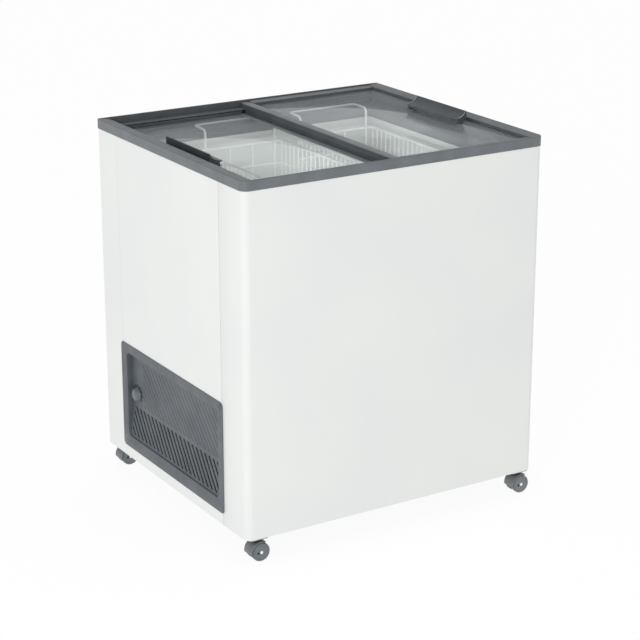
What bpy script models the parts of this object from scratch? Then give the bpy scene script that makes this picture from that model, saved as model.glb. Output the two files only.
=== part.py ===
"""Chest freezer with two sliding glass lids, on four twin-wheel casters.

Metres, +Z up. The origin is on the floor under the middle of the cabinet, +X runs along the
cabinet's length to the closed end of the upper lid, and -Y is the front.
"""

import math

import bmesh
import bpy
from mathutils import Matrix, Vector

# Driving dimensions of the whole freezer.
WIDTH = 0.680
DEPTH = 0.600
CABINET_BOTTOM = 0.050
RIM_TOP = 0.757
GAP = 0.0003

# Sheet-metal skin.
SHELL_INSET = 0.0012
SHEET = 0.0008
FRONT_RADIUS = 0.015
REAR_RADIUS = 0.004
FRONT_WRAP_Y = -0.207
REAR_WRAP_Y = 0.214

# Plastic rim, the two levels that the lids run on, and the collar below them.
RIM_BAND = 0.0195
LIP = 0.0045
END_BORDER = 0.0255
UPPER_LEDGE = RIM_TOP - 0.0147
LOWER_FLOOR = RIM_TOP - 0.0296
TRACK_OUTER = 0.2950
TRACK_WEB = 0.0015
TRACK_INNER = 0.2755
COLLAR_SHELF = RIM_TOP - 0.0340
COLLAR_BOTTOM = RIM_TOP - 0.0550
COLLAR_X = 0.275
COLLAR_Y = 0.228
COLLAR_WALL = 0.0025

# Liner, with a step over the machine compartment.
LINER_X = 0.2785
LINER_Y = 0.2315
LINER_WALL = 0.001
LINER_FLOOR = 0.105
LINER_STEP_Z = 0.350
LINER_STEP_X = -0.070
LINER_TOP = COLLAR_SHELF - 0.0023

# Machine compartment, in the left end of the insulation.
MACHINE_X = -0.115
MACHINE_Y = 0.278
MACHINE_TOP = 0.300

# Grille panel and thermostat on the left end.
PANEL_Y = (-0.211, 0.222)
PANEL_Z = (0.073, 0.304)
RECESS_Y = (-0.190, 0.198)
RECESS_Z = (0.100, 0.284)
RECESS_DEPTH = 0.011
SLOT_PITCH = 0.0175
SLOT_WIDTH = 0.0050
SHORTEST_SLOT = 0.012
TRAY_WALL = 0.0020
SLOTS_Y = (-0.182, 0.190)
SLOTS_Z = (0.105, 0.166)
KNOB_Y = 0.174
KNOB_Z = 0.196
KNOB_RADIUS = 0.015

# Lids: both are the same length, and each closes against its own end of the rim.
LID_END = 0.3135
LID_OVERLAP = 0.008
LID_RAIL = 0.021
RUNNER_Y = (0.2770, 0.2930)
GLASS = 0.004
GLASS_LIFT = 0.0011
HANDLE_X = (0.268, 0.2955)
HANDLE_Y = (-0.100, 0.075)
HANDLE_HEIGHT = 0.026

# Cooling circuit and the bush that the mains lead passes through.
COIL_Z = (0.410, 0.640)
COIL_TURNS = 6
COIL_SPACE = 0.010
COMPRESSOR = (-0.225, -0.120)
CONDENSER_X = -0.150
CONDENSER_Y = (0.020, 0.200)
CONDENSER_RUNS = 7
CONDENSER_PITCH = 0.028
GLAND_X = -0.250
GLAND_Z = 0.110
GLAND_FLANGE = 0.0080

# Wire baskets, as closed tubs of their outer shape.
BASKET_RIM = 0.686
BASKET_DEPTH = 0.200
BASKET_Y = 0.215
BASKET_WALL = 0.002
BASKET_SPANS = {"left_basket": (-0.155, 0.045), "right_basket": (0.074, 0.274)}
HANGER_INSET = 0.0175
HANGER_REACH = 0.262
WIRE = 0.004

# Casters.
SWIVEL_X = 0.3110
SWIVEL_Y = 0.280
TRAIL = 0.006
WHEEL_RADIUS = 0.019
HOOD_RADIUS = 0.0228
WHEEL_SPAN = (0.0046, 0.0150)
AXLE_RADIUS = 0.0019
BORE_RADIUS = 0.0022

for leftover in list(bpy.data.objects):
    bpy.data.objects.remove(leftover, do_unlink=True)

PARTS = bpy.data.collections.new("chest_freezer")
CUTTERS = bpy.data.collections.new("cutters")
for group in (PARTS, CUTTERS):
    bpy.context.scene.collection.children.link(group)


def material(name, colour, roughness, metallic=0.0):
    """A Principled material of one plain colour."""
    made = bpy.data.materials.new(name)
    made.use_nodes = True
    shader = made.node_tree.nodes["Principled BSDF"]
    shader.inputs["Base Color"].default_value = (*colour, 1.0)
    shader.inputs["Roughness"].default_value = roughness
    shader.inputs["Metallic"].default_value = metallic
    return made


WHITE_STEEL = material("white_painted_steel", (0.80, 0.81, 0.80), 0.35)
GALVANISED = material("galvanised_steel", (0.55, 0.56, 0.58), 0.40, 1.0)
FOAM = material("polyurethane_foam", (0.80, 0.66, 0.38), 0.90)
LINER = material("cream_liner", (0.76, 0.77, 0.70), 0.35)
GREY_PLASTIC = material("grey_plastic", (0.17, 0.18, 0.20), 0.45)
DARK_PLASTIC = material("dark_plastic", (0.06, 0.07, 0.075), 0.45)
CLEAR_GLASS = material("lid_glass", (0.70, 0.76, 0.76), 0.05)
WHITE_WIRE = material("white_coated_wire", (0.85, 0.86, 0.84), 0.40)
BLACK_STEEL = material("black_painted_steel", (0.02, 0.02, 0.02), 0.45)
COPPER = material("copper_tube", (0.72, 0.35, 0.22), 0.35, 1.0)
ALUMINIUM = material("aluminium_tube", (0.80, 0.81, 0.82), 0.35, 1.0)
STEEL = material("bright_steel", (0.60, 0.60, 0.61), 0.30, 1.0)
RUBBER = material("black_rubber", (0.03, 0.03, 0.03), 0.80)
CASTER_GREY = material("caster_grey_plastic", (0.19, 0.21, 0.22), 0.45)


def keep(name, bm, look, at=(0.0, 0.0, 0.0), collection=PARTS):
    """Turn a bmesh into a named object whose origin is at the given point."""
    bmesh.ops.translate(bm, vec=-Vector(at), verts=bm.verts)
    bmesh.ops.recalc_face_normals(bm, faces=bm.faces)
    mesh = bpy.data.meshes.new(name)
    bm.to_mesh(mesh)
    bm.free()
    mesh.materials.append(look)
    made = bpy.data.objects.new(name, mesh)
    made.location = at
    collection.objects.link(made)
    return made


def smooth(made, degrees=35.0):
    """Shade a round piece smooth, and keep its true edges sharp."""
    made.data.shade_smooth()
    made.data.set_sharp_from_angle(angle=math.radians(degrees))
    return made


def cuboid(low, high):
    """A box between two opposite corners."""
    bm = bmesh.new()
    size = [b - a for a, b in zip(low, high)]
    centre = [(a + b) / 2 for a, b in zip(low, high)]
    place = Matrix.Translation(centre) @ Matrix.Diagonal((*size, 1.0))
    bmesh.ops.create_cube(bm, size=1.0, matrix=place)
    return bm


def round_edges(bm, radius, along, where=None, segments=4):
    """Bevel the edges that run along one axis; where picks them by their middle point."""
    others = [axis for axis in range(3) if axis != along]
    edges = []
    for edge in bm.edges:
        step = edge.verts[1].co - edge.verts[0].co
        middle = (edge.verts[0].co + edge.verts[1].co) / 2
        if all(abs(step[axis]) < 1e-6 for axis in others) and (where is None or where(middle)):
            edges.append(edge)
    bmesh.ops.bevel(bm, geom=edges, offset=radius, segments=segments, profile=0.5, affect="EDGES")
    return bm


def round_plan(bm):
    """Round a box's upright edges as the skin is: wide at the front, tight at the rear."""
    round_edges(bm, FRONT_RADIUS, 2, lambda p: p.y < 0)

    def at_rear(middle):
        return middle.y > DEPTH * 0.49 and abs(middle.x) > WIDTH * 0.49

    return round_edges(bm, REAR_RADIUS, 2, at_rear, 2)


def prism(outline, along, low, high):
    """A flat outline pushed along one axis. Its points are the other two axes in order."""
    bm = bmesh.new()
    corners = []
    for first, second in outline:
        point = [first, second]
        point.insert(along, low)
        corners.append(bm.verts.new(point))
    face = bm.faces.new(corners)
    made = bmesh.ops.extrude_face_region(bm, geom=[face])
    moved = [item for item in made["geom"] if isinstance(item, bmesh.types.BMVert)]
    shift = Vector((0.0, 0.0, 0.0))
    shift[along] = high - low
    bmesh.ops.translate(bm, vec=shift, verts=moved)
    return bm


def rod(start, end, radius, segments=20):
    """A round bar between two points."""
    bm = bmesh.new()
    start, end = Vector(start), Vector(end)
    turn = (end - start).to_track_quat("Z", "Y").to_matrix().to_4x4()
    place = Matrix.Translation((start + end) / 2) @ turn
    length = (end - start).length
    bmesh.ops.create_cone(
        bm, cap_ends=True, segments=segments, radius1=radius, radius2=radius, depth=length, matrix=place
    )
    return bm


def merged(*shapes):
    """Several shapes as one cutter mesh, each still a closed body."""
    whole = bmesh.new()
    for shape in shapes:
        held = bpy.data.meshes.new("held")
        shape.to_mesh(held)
        shape.free()
        whole.from_mesh(held)
        bpy.data.meshes.remove(held)
    return whole


def combine(made, bm, operation):
    """Cut a shape out of an object, or join it on, with an exact Boolean."""
    name = f"{made.name}_{operation.lower()}_{len(made.modifiers)}"
    helper = keep(name, bm, made.data.materials[0], collection=CUTTERS)
    helper.hide_render = True
    helper.display_type = "WIRE"
    change = made.modifiers.new(name, "BOOLEAN")
    change.operation = operation
    change.solver = "EXACT"
    change.object = helper
    return made


def turned(name, profile, look, at, axis, steps=24):
    """A solid of revolution: (radius, height) points from the outer top down, about an axis."""
    mesh = bpy.data.meshes.new(name)
    rim = [(radius, 0.0, height) for radius, height in profile]
    mesh.from_pydata(rim, [(i, i + 1) for i in range(len(rim) - 1)], [])
    mesh.materials.append(look)
    made = bpy.data.objects.new(name, mesh)
    made.location = at
    made.rotation_mode = "QUATERNION"
    made.rotation_quaternion = Vector(axis).to_track_quat("Z", "Y")
    PARTS.objects.link(made)
    screw = made.modifiers.new("Turn", "SCREW")
    screw.axis = "Z"
    screw.steps = steps
    screw.render_steps = steps
    screw.use_merge_vertices = True
    screw.merge_threshold = 0.00001
    screw.use_smooth_shade = True
    return made


def tube(name, route, radius, look, resolution=2):
    """A bent tube along points, with closed ends."""
    line = bpy.data.curves.new(name, "CURVE")
    line.dimensions = "3D"
    line.bevel_depth = radius
    line.bevel_resolution = resolution
    line.use_fill_caps = True
    spline = line.splines.new("POLY")
    spline.points.add(len(route) - 1)
    for point, place in zip(spline.points, route):
        point.co = (*place, 1.0)
    line.materials.append(look)
    made = bpy.data.objects.new(name, line)
    PARTS.objects.link(made)
    return made


def rounded(corners, radius, steps=4):
    """A path through corners with every inner corner turned into an arc, in 2D or 3D."""
    corners = [Vector(corner) for corner in corners]
    path = [corners[0]]
    for before, corner, after in zip(corners, corners[1:], corners[2:]):
        back = (before - corner).normalized()
        ahead = (after - corner).normalized()
        for i in range(steps + 1):
            angle = math.pi / 2 * i / steps
            bend = 1.0 - math.cos(angle)
            rise = 1.0 - math.sin(angle)
            path.append(corner + radius * (ahead * bend + back * rise))
    path.append(corners[-1])
    return path


def bent_sheet(name, path, low, high, look):
    """Sheet metal bent along a plan path that keeps the cabinet on its left, from low to high."""
    bm = bmesh.new()
    foot = [bm.verts.new((point[0], point[1], low)) for point in path]
    edges = [bm.edges.new(pair) for pair in zip(foot, foot[1:])]
    made = bmesh.ops.extrude_edge_only(bm, edges=edges)
    head = [item for item in made["geom"] if isinstance(item, bmesh.types.BMVert)]
    bmesh.ops.translate(bm, vec=(0.0, 0.0, high - low), verts=head)
    sheet = keep(name, bm, look)
    outward = sum(face.normal.dot(face.center.xy.to_3d()) for face in sheet.data.polygons)
    thick = sheet.modifiers.new("Sheet", "SOLIDIFY")
    thick.thickness = SHEET
    thick.offset = -1.0 if outward > 0 else 1.0
    thick.use_even_offset = True
    return sheet


# Outer skin: two wrapped panels and two end panels, folded from painted sheet.
def make_skin():
    x = WIDTH / 2 - SHELL_INSET
    y = DEPTH / 2 - SHELL_INSET
    top = RIM_TOP - RIM_BAND - GAP
    front = rounded([(-x, FRONT_WRAP_Y), (-x, -y), (x, -y), (x, FRONT_WRAP_Y)], FRONT_RADIUS, 5)
    bent_sheet("front_panel", front, CABINET_BOTTOM, top, WHITE_STEEL)
    rear = rounded([(x, REAR_WRAP_Y), (x, y), (-x, y), (-x, REAR_WRAP_Y)], REAR_RADIUS, 2)
    back = bent_sheet("rear_panel", rear, CABINET_BOTTOM, top, WHITE_STEEL)
    bush_hole = rod((GLAND_X, 0.29, GLAND_Z), (GLAND_X, 0.31, GLAND_Z), GLAND_FLANGE + 0.0004)
    combine(back, bush_hole, "DIFFERENCE")
    low = FRONT_WRAP_Y + 0.0006
    high = REAR_WRAP_Y - 0.0006
    right = cuboid((x - SHEET, low, CABINET_BOTTOM), (x, high, top))
    keep("right_end_panel", right, WHITE_STEEL)
    left = cuboid((-x, low, CABINET_BOTTOM), (-x + SHEET, high, top))
    opening = cuboid(
        (-x - 0.01, RECESS_Y[0] - 0.003, RECESS_Z[0] - 0.003),
        (-x + 0.01, RECESS_Y[1] + 0.003, RECESS_Z[1] + 0.003),
    )
    combine(keep("left_end_panel", left, WHITE_STEEL), opening, "DIFFERENCE")
    inside = SHEET + 0.0004
    floor = cuboid(
        (-x + inside, -y + inside, CABINET_BOTTOM + GAP),
        (x - inside, y - inside, CABINET_BOTTOM + 0.0013),
    )
    keep("base_plate", round_plan(floor), GALVANISED)


def liner_outline(grow):
    """Side outline of the liner's inside, grown outward by a distance."""
    left, right = -LINER_X - grow, LINER_X + grow
    floor, step = LINER_FLOOR - grow, LINER_STEP_Z - grow
    step_x = LINER_STEP_X - grow
    base = [(left, step), (step_x, step), (step_x, floor), (right, floor)]
    return base + [(right, LINER_TOP), (left, LINER_TOP)]


# Insulation foamed between skin and liner, with the machine compartment left open.
def make_insulation():
    x = WIDTH / 2 - SHELL_INSET - SHEET - 0.0004
    y = DEPTH / 2 - SHELL_INSET - SHEET - 0.0004
    top = LINER_TOP - LINER_WALL - GAP
    block = cuboid((-x, -y, CABINET_BOTTOM + 0.0016), (x, y, top))
    foam = keep("insulation", round_plan(block), FOAM)
    grow = LINER_WALL + GAP
    cavity = liner_outline(grow)[:4]
    cavity += [(LINER_X + grow, RIM_TOP), (-LINER_X - grow, RIM_TOP)]
    combine(foam, prism(cavity, 1, -LINER_Y - grow, LINER_Y + grow), "DIFFERENCE")
    machine = cuboid((-x - 0.05, -MACHINE_Y, 0.0), (MACHINE_X, MACHINE_Y, MACHINE_TOP))
    combine(foam, machine, "DIFFERENCE")
    deep_x = LINER_X + grow + COIL_SPACE
    deep_y = LINER_Y + grow + COIL_SPACE
    coil_space = cuboid((-deep_x, -deep_y, COIL_Z[0] - 0.02), (deep_x, deep_y, COIL_Z[1] + 0.02))
    combine(foam, coil_space, "DIFFERENCE")
    lead = rod((GLAND_X, 0.25, GLAND_Z), (GLAND_X, 0.32, GLAND_Z), GLAND_FLANGE + 0.0005)
    combine(foam, lead, "DIFFERENCE")


# Inner liner: an open tub with a flange that lies on the insulation.
def make_liner():
    bm = prism(liner_outline(0.0), 1, -LINER_Y, LINER_Y)
    bm.normal_update()
    lid = [face for face in bm.faces if face.calc_center_median().z > LINER_TOP - 1e-5]
    bmesh.ops.delete(bm, geom=lid, context="FACES_ONLY")
    nose = Vector((LINER_STEP_X, 0.0, LINER_STEP_Z))
    hollow = []
    for edge in bm.edges:
        middle = (edge.verts[0].co + edge.verts[1].co) / 2
        if not edge.is_boundary and (middle - nose).length > 0.001:
            hollow.append(edge)
    bmesh.ops.bevel(bm, geom=hollow, offset=0.014, segments=2, profile=0.5, affect="EDGES")
    rim = [edge for edge in bm.edges if edge.is_boundary]
    made = bmesh.ops.extrude_edge_only(bm, edges=rim)
    flange = [item for item in made["geom"] if isinstance(item, bmesh.types.BMVert)]
    bmesh.ops.scale(bm, vec=(0.308 / LINER_X, 0.288 / LINER_Y, 1.0), verts=flange)
    liner = keep("inner_liner", bm, LINER)
    faces = liner.data.polygons
    floor = min(faces, key=lambda face: face.center.z)
    thick = liner.modifiers.new("Wall", "SOLIDIFY")
    thick.thickness = LINER_WALL
    thick.offset = 1.0 if floor.normal.z < 0 else -1.0
    thick.use_even_offset = True


# Evaporator: one tube wound round the outside of the liner, in a recess of the insulation.
def make_evaporator():
    x = LINER_X + LINER_WALL + GAP + 0.0048
    y = LINER_Y + LINER_WALL + GAP + 0.0048
    start = (0.0, y)
    plan = rounded([start, (-x, y), (-x, -y), (x, -y), (x, y), start], 0.020, 3)
    lengths = [0.0]
    for before, after in zip(plan, plan[1:]):
        lengths.append(lengths[-1] + (after - before).length)
    rise = (COIL_Z[1] - COIL_Z[0]) / COIL_TURNS
    route = []
    for turn in range(COIL_TURNS):
        for point, length in zip(plan[:-1], lengths):
            height = COIL_Z[0] + rise * (turn + length / lengths[-1])
            route.append((point.x, point.y, height))
    tube("evaporator_tube", route, 0.004, ALUMINIUM)


# Rim: the grey moulding that caps the cabinet, with a wide border at each end.
def make_rim():
    low = RIM_TOP - RIM_BAND
    band = cuboid((-WIDTH / 2, -DEPTH / 2, low), (WIDTH / 2, DEPTH / 2, RIM_TOP))
    round_edges(band, FRONT_RADIUS + SHELL_INSET, 2, lambda p: p.y < 0, 5)
    round_edges(band, REAR_RADIUS + SHELL_INSET, 2, lambda p: p.y > 0, 2)
    rim = keep("rim_frame", band, GREY_PLASTIC)
    inner_x = WIDTH / 2 - END_BORDER
    inner_y = DEPTH / 2 - LIP
    foot_x = WIDTH / 2 - SHELL_INSET - SHEET - 0.0004
    foot_y = inner_y - 0.0006
    for side in (-1, 1):
        ends = sorted((side * inner_x * 0.98, side * foot_x))
        foot = cuboid((ends[0], -foot_y, COLLAR_SHELF + GAP), (ends[1], foot_y, low + 0.002))
        round_edges(foot, 0.018, 2, lambda p: p.y < 0 and abs(p.x) > inner_x)
        combine(rim, foot, "UNION")
    well = cuboid((-inner_x, -inner_y, COLLAR_SHELF - 0.01), (inner_x, inner_y, RIM_TOP + 0.01))
    combine(rim, well, "DIFFERENCE")


# Lid tracks: an open ledge for the upper lid over a channel for the lower one.
def make_tracks():
    inner_x = WIDTH / 2 - END_BORDER - GAP
    web = TRACK_OUTER - TRACK_WEB
    base = COLLAR_SHELF + GAP
    shelf = UPPER_LEDGE - 0.0020
    profile = [
        (TRACK_OUTER, base), (TRACK_OUTER, RIM_TOP - 0.0006), (web, RIM_TOP - 0.0006),
        (web, UPPER_LEDGE), (TRACK_INNER, UPPER_LEDGE), (TRACK_INNER, shelf), (web, shelf),
        (web, LOWER_FLOOR), (TRACK_INNER, LOWER_FLOOR), (TRACK_INNER, base),
    ]
    for name, side in (("front_lid_track", -1), ("rear_lid_track", 1)):
        outline = [(side * y, z) for y, z in profile]
        keep(name, prism(outline, 0, -inner_x, inner_x), GREY_PLASTIC)


# Collar: the shelf that the baskets hook onto, and the skirt down over the liner.
def make_collar():
    outer_x = WIDTH / 2 - END_BORDER - GAP
    plate = cuboid(
        (-outer_x, -TRACK_OUTER, COLLAR_SHELF - 0.002), (outer_x, TRACK_OUTER, COLLAR_SHELF)
    )
    collar = keep("inner_collar", plate, GREY_PLASTIC)
    wall_x = COLLAR_X + COLLAR_WALL
    wall_y = COLLAR_Y + COLLAR_WALL
    skirt = cuboid((-wall_x, -wall_y, COLLAR_BOTTOM), (wall_x, wall_y, COLLAR_SHELF - 0.001))
    combine(collar, round_edges(skirt, 0.012, 2, segments=2), "UNION")
    well = cuboid((-COLLAR_X, -COLLAR_Y, COLLAR_BOTTOM - 0.01), (COLLAR_X, COLLAR_Y, RIM_TOP))
    combine(collar, round_edges(well, 0.010, 2, segments=2), "DIFFERENCE")


def slots(low_y, high_y, low_z, high_z, x):
    """Cutters for the slanting air slots: each falls at 45 degrees towards the front."""
    bars = []
    reach = high_z - low_z
    count = int((high_y - low_y + reach) / SLOT_PITCH)
    for i in range(1, count):
        foot = low_y - reach + i * SLOT_PITCH
        start = max(foot, low_y)
        end = min(foot + reach, high_y)
        if end - start < SHORTEST_SLOT:
            continue
        middle = ((start + end) / 2, low_z + (start + end) / 2 - foot)
        bar = bmesh.new()
        place = Matrix.Translation((x, *middle)) @ Matrix.Rotation(math.radians(45.0), 4, "X")
        size = Matrix.Diagonal((0.012, (end - start) * math.sqrt(2.0), SLOT_WIDTH, 1.0))
        bmesh.ops.create_cube(bar, size=1.0, matrix=place @ size)
        bars.append(bar)
    return merged(*bars)


# Grille panel: a flat flange round a shallow tray with slots, which also carries the thermostat.
def make_grille():
    skin = WIDTH / 2 - SHELL_INSET
    face = -skin - GAP - 0.0008
    floor = -skin + RECESS_DEPTH
    flange = cuboid((face, PANEL_Y[0], PANEL_Z[0]), (-skin - GAP, PANEL_Y[1], PANEL_Z[1]))
    panel = keep("grille_panel", round_edges(flange, 0.010, 0, segments=3), DARK_PLASTIC)
    tray = cuboid(
        (-skin - 0.0005, RECESS_Y[0] - TRAY_WALL, RECESS_Z[0] - TRAY_WALL),
        (floor + TRAY_WALL, RECESS_Y[1] + TRAY_WALL, RECESS_Z[1] + TRAY_WALL),
    )
    combine(panel, round_edges(tray, 0.012, 0, segments=2), "UNION")
    hollow = cuboid((face - 0.01, RECESS_Y[0], RECESS_Z[0]), (floor, RECESS_Y[1], RECESS_Z[1]))
    combine(panel, round_edges(hollow, 0.010, 0, segments=2), "DIFFERENCE")
    combine(panel, slots(*SLOTS_Y, *SLOTS_Z, floor), "DIFFERENCE")
    spindle_hole = rod((floor - 0.005, KNOB_Y, KNOB_Z), (floor + 0.01, KNOB_Y, KNOB_Z), 0.0045)
    combine(panel, spindle_hole, "DIFFERENCE")


# Thermostat: a small switch box behind the tray, its spindle, and the knob on the spindle.
def make_thermostat():
    floor = -(WIDTH / 2 - SHELL_INSET) + RECESS_DEPTH
    back = floor + TRAY_WALL + GAP
    box = cuboid(
        (back, KNOB_Y - 0.020, KNOB_Z - 0.024), (back + 0.030, KNOB_Y + 0.020, KNOB_Z + 0.024)
    )
    keep("thermostat", box, DARK_PLASTIC)
    centre = (floor, KNOB_Y, KNOB_Z)
    spindle = rod((back - GAP, KNOB_Y, KNOB_Z), (floor - 0.0065, KNOB_Y, KNOB_Z), 0.003, 16)
    smooth(keep("thermostat_spindle", spindle, STEEL, at=centre))
    profile = [
        (0.0, 0.0104), (KNOB_RADIUS - 0.003, 0.0104), (KNOB_RADIUS - 0.0008, 0.0092),
        (KNOB_RADIUS, 0.0005), (0.0034, 0.0005), (0.0034, 0.0072), (0.0, 0.0072),
    ]
    turned("thermostat_knob", profile, GREY_PLASTIC, centre, (-1, 0, 0), 24)


# Machine compartment: tray, compressor with its relay box, condenser, drier and pipes.
def make_machine():
    x = WIDTH / 2 - SHELL_INSET - SHEET - 0.0010
    tray_z = CABINET_BOTTOM + 0.0018
    tray = cuboid(
        (-x + 0.010, -MACHINE_Y + 0.004, tray_z),
        (MACHINE_X - 0.004, MACHINE_Y - 0.004, tray_z + 0.0015),
    )
    keep("machine_tray", tray, GALVANISED)
    stand = tray_z + 0.0015 + GAP
    profile = [
        (0.0, 0.150), (0.030, 0.148), (0.052, 0.136), (0.060, 0.115), (0.062, 0.078),
        (0.066, 0.076), (0.066, 0.070), (0.062, 0.068), (0.060, 0.040), (0.048, 0.018),
        (0.040, 0.012), (0.040, 0.0), (0.0, 0.0),
    ]
    turned("compressor", profile, BLACK_STEEL, (*COMPRESSOR, stand), (0, 0, 1), 24)
    side = COMPRESSOR[1] - 0.0665
    relay = cuboid(
        (COMPRESSOR[0] - 0.022, side - 0.030, stand + 0.050),
        (COMPRESSOR[0] + 0.022, side, stand + 0.105),
    )
    keep("relay_cover", round_edges(relay, 0.004, 2, segments=2), DARK_PLASTIC)
    corners = []
    for i in range(CONDENSER_RUNS):
        z = stand + 0.020 + CONDENSER_PITCH * i
        ends = [(CONDENSER_X, CONDENSER_Y[0], z), (CONDENSER_X, CONDENSER_Y[1], z)]
        corners += ends if i % 2 == 0 else ends[::-1]
    tube("condenser_coil", rounded(corners, 0.010, 2), 0.0025, BLACK_STEEL)
    drier = rod((-0.185, 0.060, stand + 0.030), (-0.185, 0.150, stand + 0.030), 0.009, 16)
    smooth(keep("filter_drier", drier, COPPER))
    hot = [
        (COMPRESSOR[0] + 0.020, COMPRESSOR[1] + 0.066, stand + 0.095),
        (COMPRESSOR[0] + 0.020, -0.006, stand + 0.095),
        (CONDENSER_X, -0.006, stand + 0.095), (CONDENSER_X, -0.006, stand + 0.020),
        (CONDENSER_X, CONDENSER_Y[0] - 0.0008, stand + 0.020),
    ]
    tube("discharge_pipe", rounded(hot, 0.006, 2), 0.0025, COPPER)
    cold = [
        (COMPRESSOR[0] - 0.022, COMPRESSOR[1] + 0.066, stand + 0.060),
        (COMPRESSOR[0] - 0.022, 0.020, stand + 0.060),
        (COMPRESSOR[0] - 0.022, 0.020, stand + 0.225), (MACHINE_X - 0.001, 0.020, stand + 0.225),
    ]
    tube("suction_pipe", rounded(cold, 0.010, 3), 0.0035, COPPER)
    profile = [
        (GLAND_FLANGE, 0.0), (GLAND_FLANGE, -0.0014), (0.0058, -0.0014), (0.0058, -0.016),
        (0.0035, -0.016), (0.0035, 0.0), (GLAND_FLANGE, 0.0),
    ]
    turned("cable_gland", profile, RUBBER, (GLAND_X, DEPTH / 2 - SHELL_INSET, GLAND_Z), (0, 1, 0), 20)


# One lid: tempered glass, a runner on each long edge, a rail at its inner end and a grip.
def make_lid(name, side, floor, rail_high):
    level = floor + GAP
    glass_low = level + GLASS_LIFT
    glass_high = glass_low + GLASS
    rail_inner = -side * LID_OVERLAP
    rail_outer = rail_inner + side * LID_RAIL
    far = side * LID_END
    pane_x = sorted((rail_outer + side * GAP, far))
    pane_y = RUNNER_Y[1] - 0.0015
    pane = cuboid((pane_x[0], -pane_y, glass_low), (pane_x[1], pane_y, glass_high))
    keep(f"{name}_glass", pane, CLEAR_GLASS)
    low_y, high_y = RUNNER_Y
    top_inner = glass_high + 0.0053
    profile = [
        (high_y, level), (high_y, top_inner + 0.0015), (low_y, top_inner), (low_y, glass_high + GAP),
        (high_y - 0.0012, glass_high + GAP), (high_y - 0.0012, glass_low - GAP),
        (low_y + 0.008, glass_low - GAP), (low_y + 0.008, level),
    ]
    for place, way in (("front", -1), ("rear", 1)):
        outline = [(way * y, z) for y, z in profile]
        keep(f"{name}_{place}_runner", prism(outline, 0, *pane_x), GREY_PLASTIC)
    rail_x = sorted((rail_inner, rail_outer))
    wing = cuboid((rail_x[0], -high_y, level), (rail_x[1], high_y, rail_high))
    keep(f"{name}_end_rail", wing, GREY_PLASTIC)
    make_handle(f"{name}_handle", side, glass_high + GAP)


# Grip: a solid foot on the glass that sweeps up to a raised edge near the lid's outer end.
def make_handle(name, side, base):
    inner, outer = HANDLE_X
    lip = 0.003
    sweep = outer - lip - inner
    start = 0.011
    profile = [(inner, base), (inner, base + start)]
    for i in range(1, 7):
        angle = math.pi / 2 * i / 6
        height = base + start + (HANDLE_HEIGHT - start) * (1 - math.cos(angle))
        profile.append((inner + sweep * math.sin(angle), height))
    profile += [(outer, base + HANDLE_HEIGHT), (outer, base)]
    low, high = HANDLE_Y if side > 0 else (-HANDLE_Y[1] - 0.020, -HANDLE_Y[0] - 0.020)
    outline = [(side * x, z) for x, z in profile]
    keep(name, prism(outline, 1, low, high), DARK_PLASTIC)


def make_lids():
    upper_glass_top = UPPER_LEDGE + GAP + GLASS_LIFT + GLASS
    lower_glass_top = LOWER_FLOOR + GAP + GLASS_LIFT + GLASS
    make_lid("right_lid", 1, UPPER_LEDGE, upper_glass_top + 0.0053)
    make_lid("left_lid", -1, LOWER_FLOOR, lower_glass_top + GAP)
    wiper_y = TRACK_INNER - 0.001
    wiper_x = (-LID_OVERLAP, LID_RAIL - LID_OVERLAP)
    wiper = cuboid(
        (wiper_x[0], -wiper_y, lower_glass_top + 0.0008), (wiper_x[1], wiper_y, UPPER_LEDGE)
    )
    keep("right_lid_wiper_seal", wiper, RUBBER)


# Baskets: open tubs with a wire hanger at the front and the rear that hooks over the collar.
def make_baskets():
    for name, (low_x, high_x) in BASKET_SPANS.items():
        floor = BASKET_RIM - BASKET_DEPTH
        tub = cuboid((low_x, -BASKET_Y, floor), (high_x, BASKET_Y, BASKET_RIM))
        basket = keep(name, round_edges(tub, 0.012, 2, segments=2), WHITE_WIRE)
        wall = BASKET_WALL
        inside = cuboid(
            (low_x + wall, -BASKET_Y + wall, floor + wall),
            (high_x - wall, BASKET_Y - wall, BASKET_RIM + 0.01),
        )
        combine(basket, round_edges(inside, 0.010, 2, segments=2), "DIFFERENCE")
        hook_low = COLLAR_SHELF + GAP
        leg_x = (low_x + HANGER_INSET, high_x - HANGER_INSET)
        bars = []
        for way in (-1, 1):
            for x in leg_x:
                near, past = x - WIRE / 2, x + WIRE / 2
                leg = sorted((way * (BASKET_Y - WIRE), way * BASKET_Y))
                foot = BASKET_RIM - 0.020
                bars.append(cuboid((near, leg[0], foot), (past, leg[1], hook_low + 0.001)))
                arm = sorted((way * (BASKET_Y - WIRE), way * HANGER_REACH))
                bars.append(cuboid((near, arm[0], hook_low), (past, arm[1], hook_low + WIRE)))
            bar = sorted((way * (HANGER_REACH - WIRE), way * HANGER_REACH))
            corner = (leg_x[0] - WIRE / 2, bar[0], hook_low)
            bars.append(cuboid(corner, (leg_x[1] + WIRE / 2, bar[1], hook_low + WIRE)))
        for bar in bars:
            combine(basket, bar, "UNION")


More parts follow.
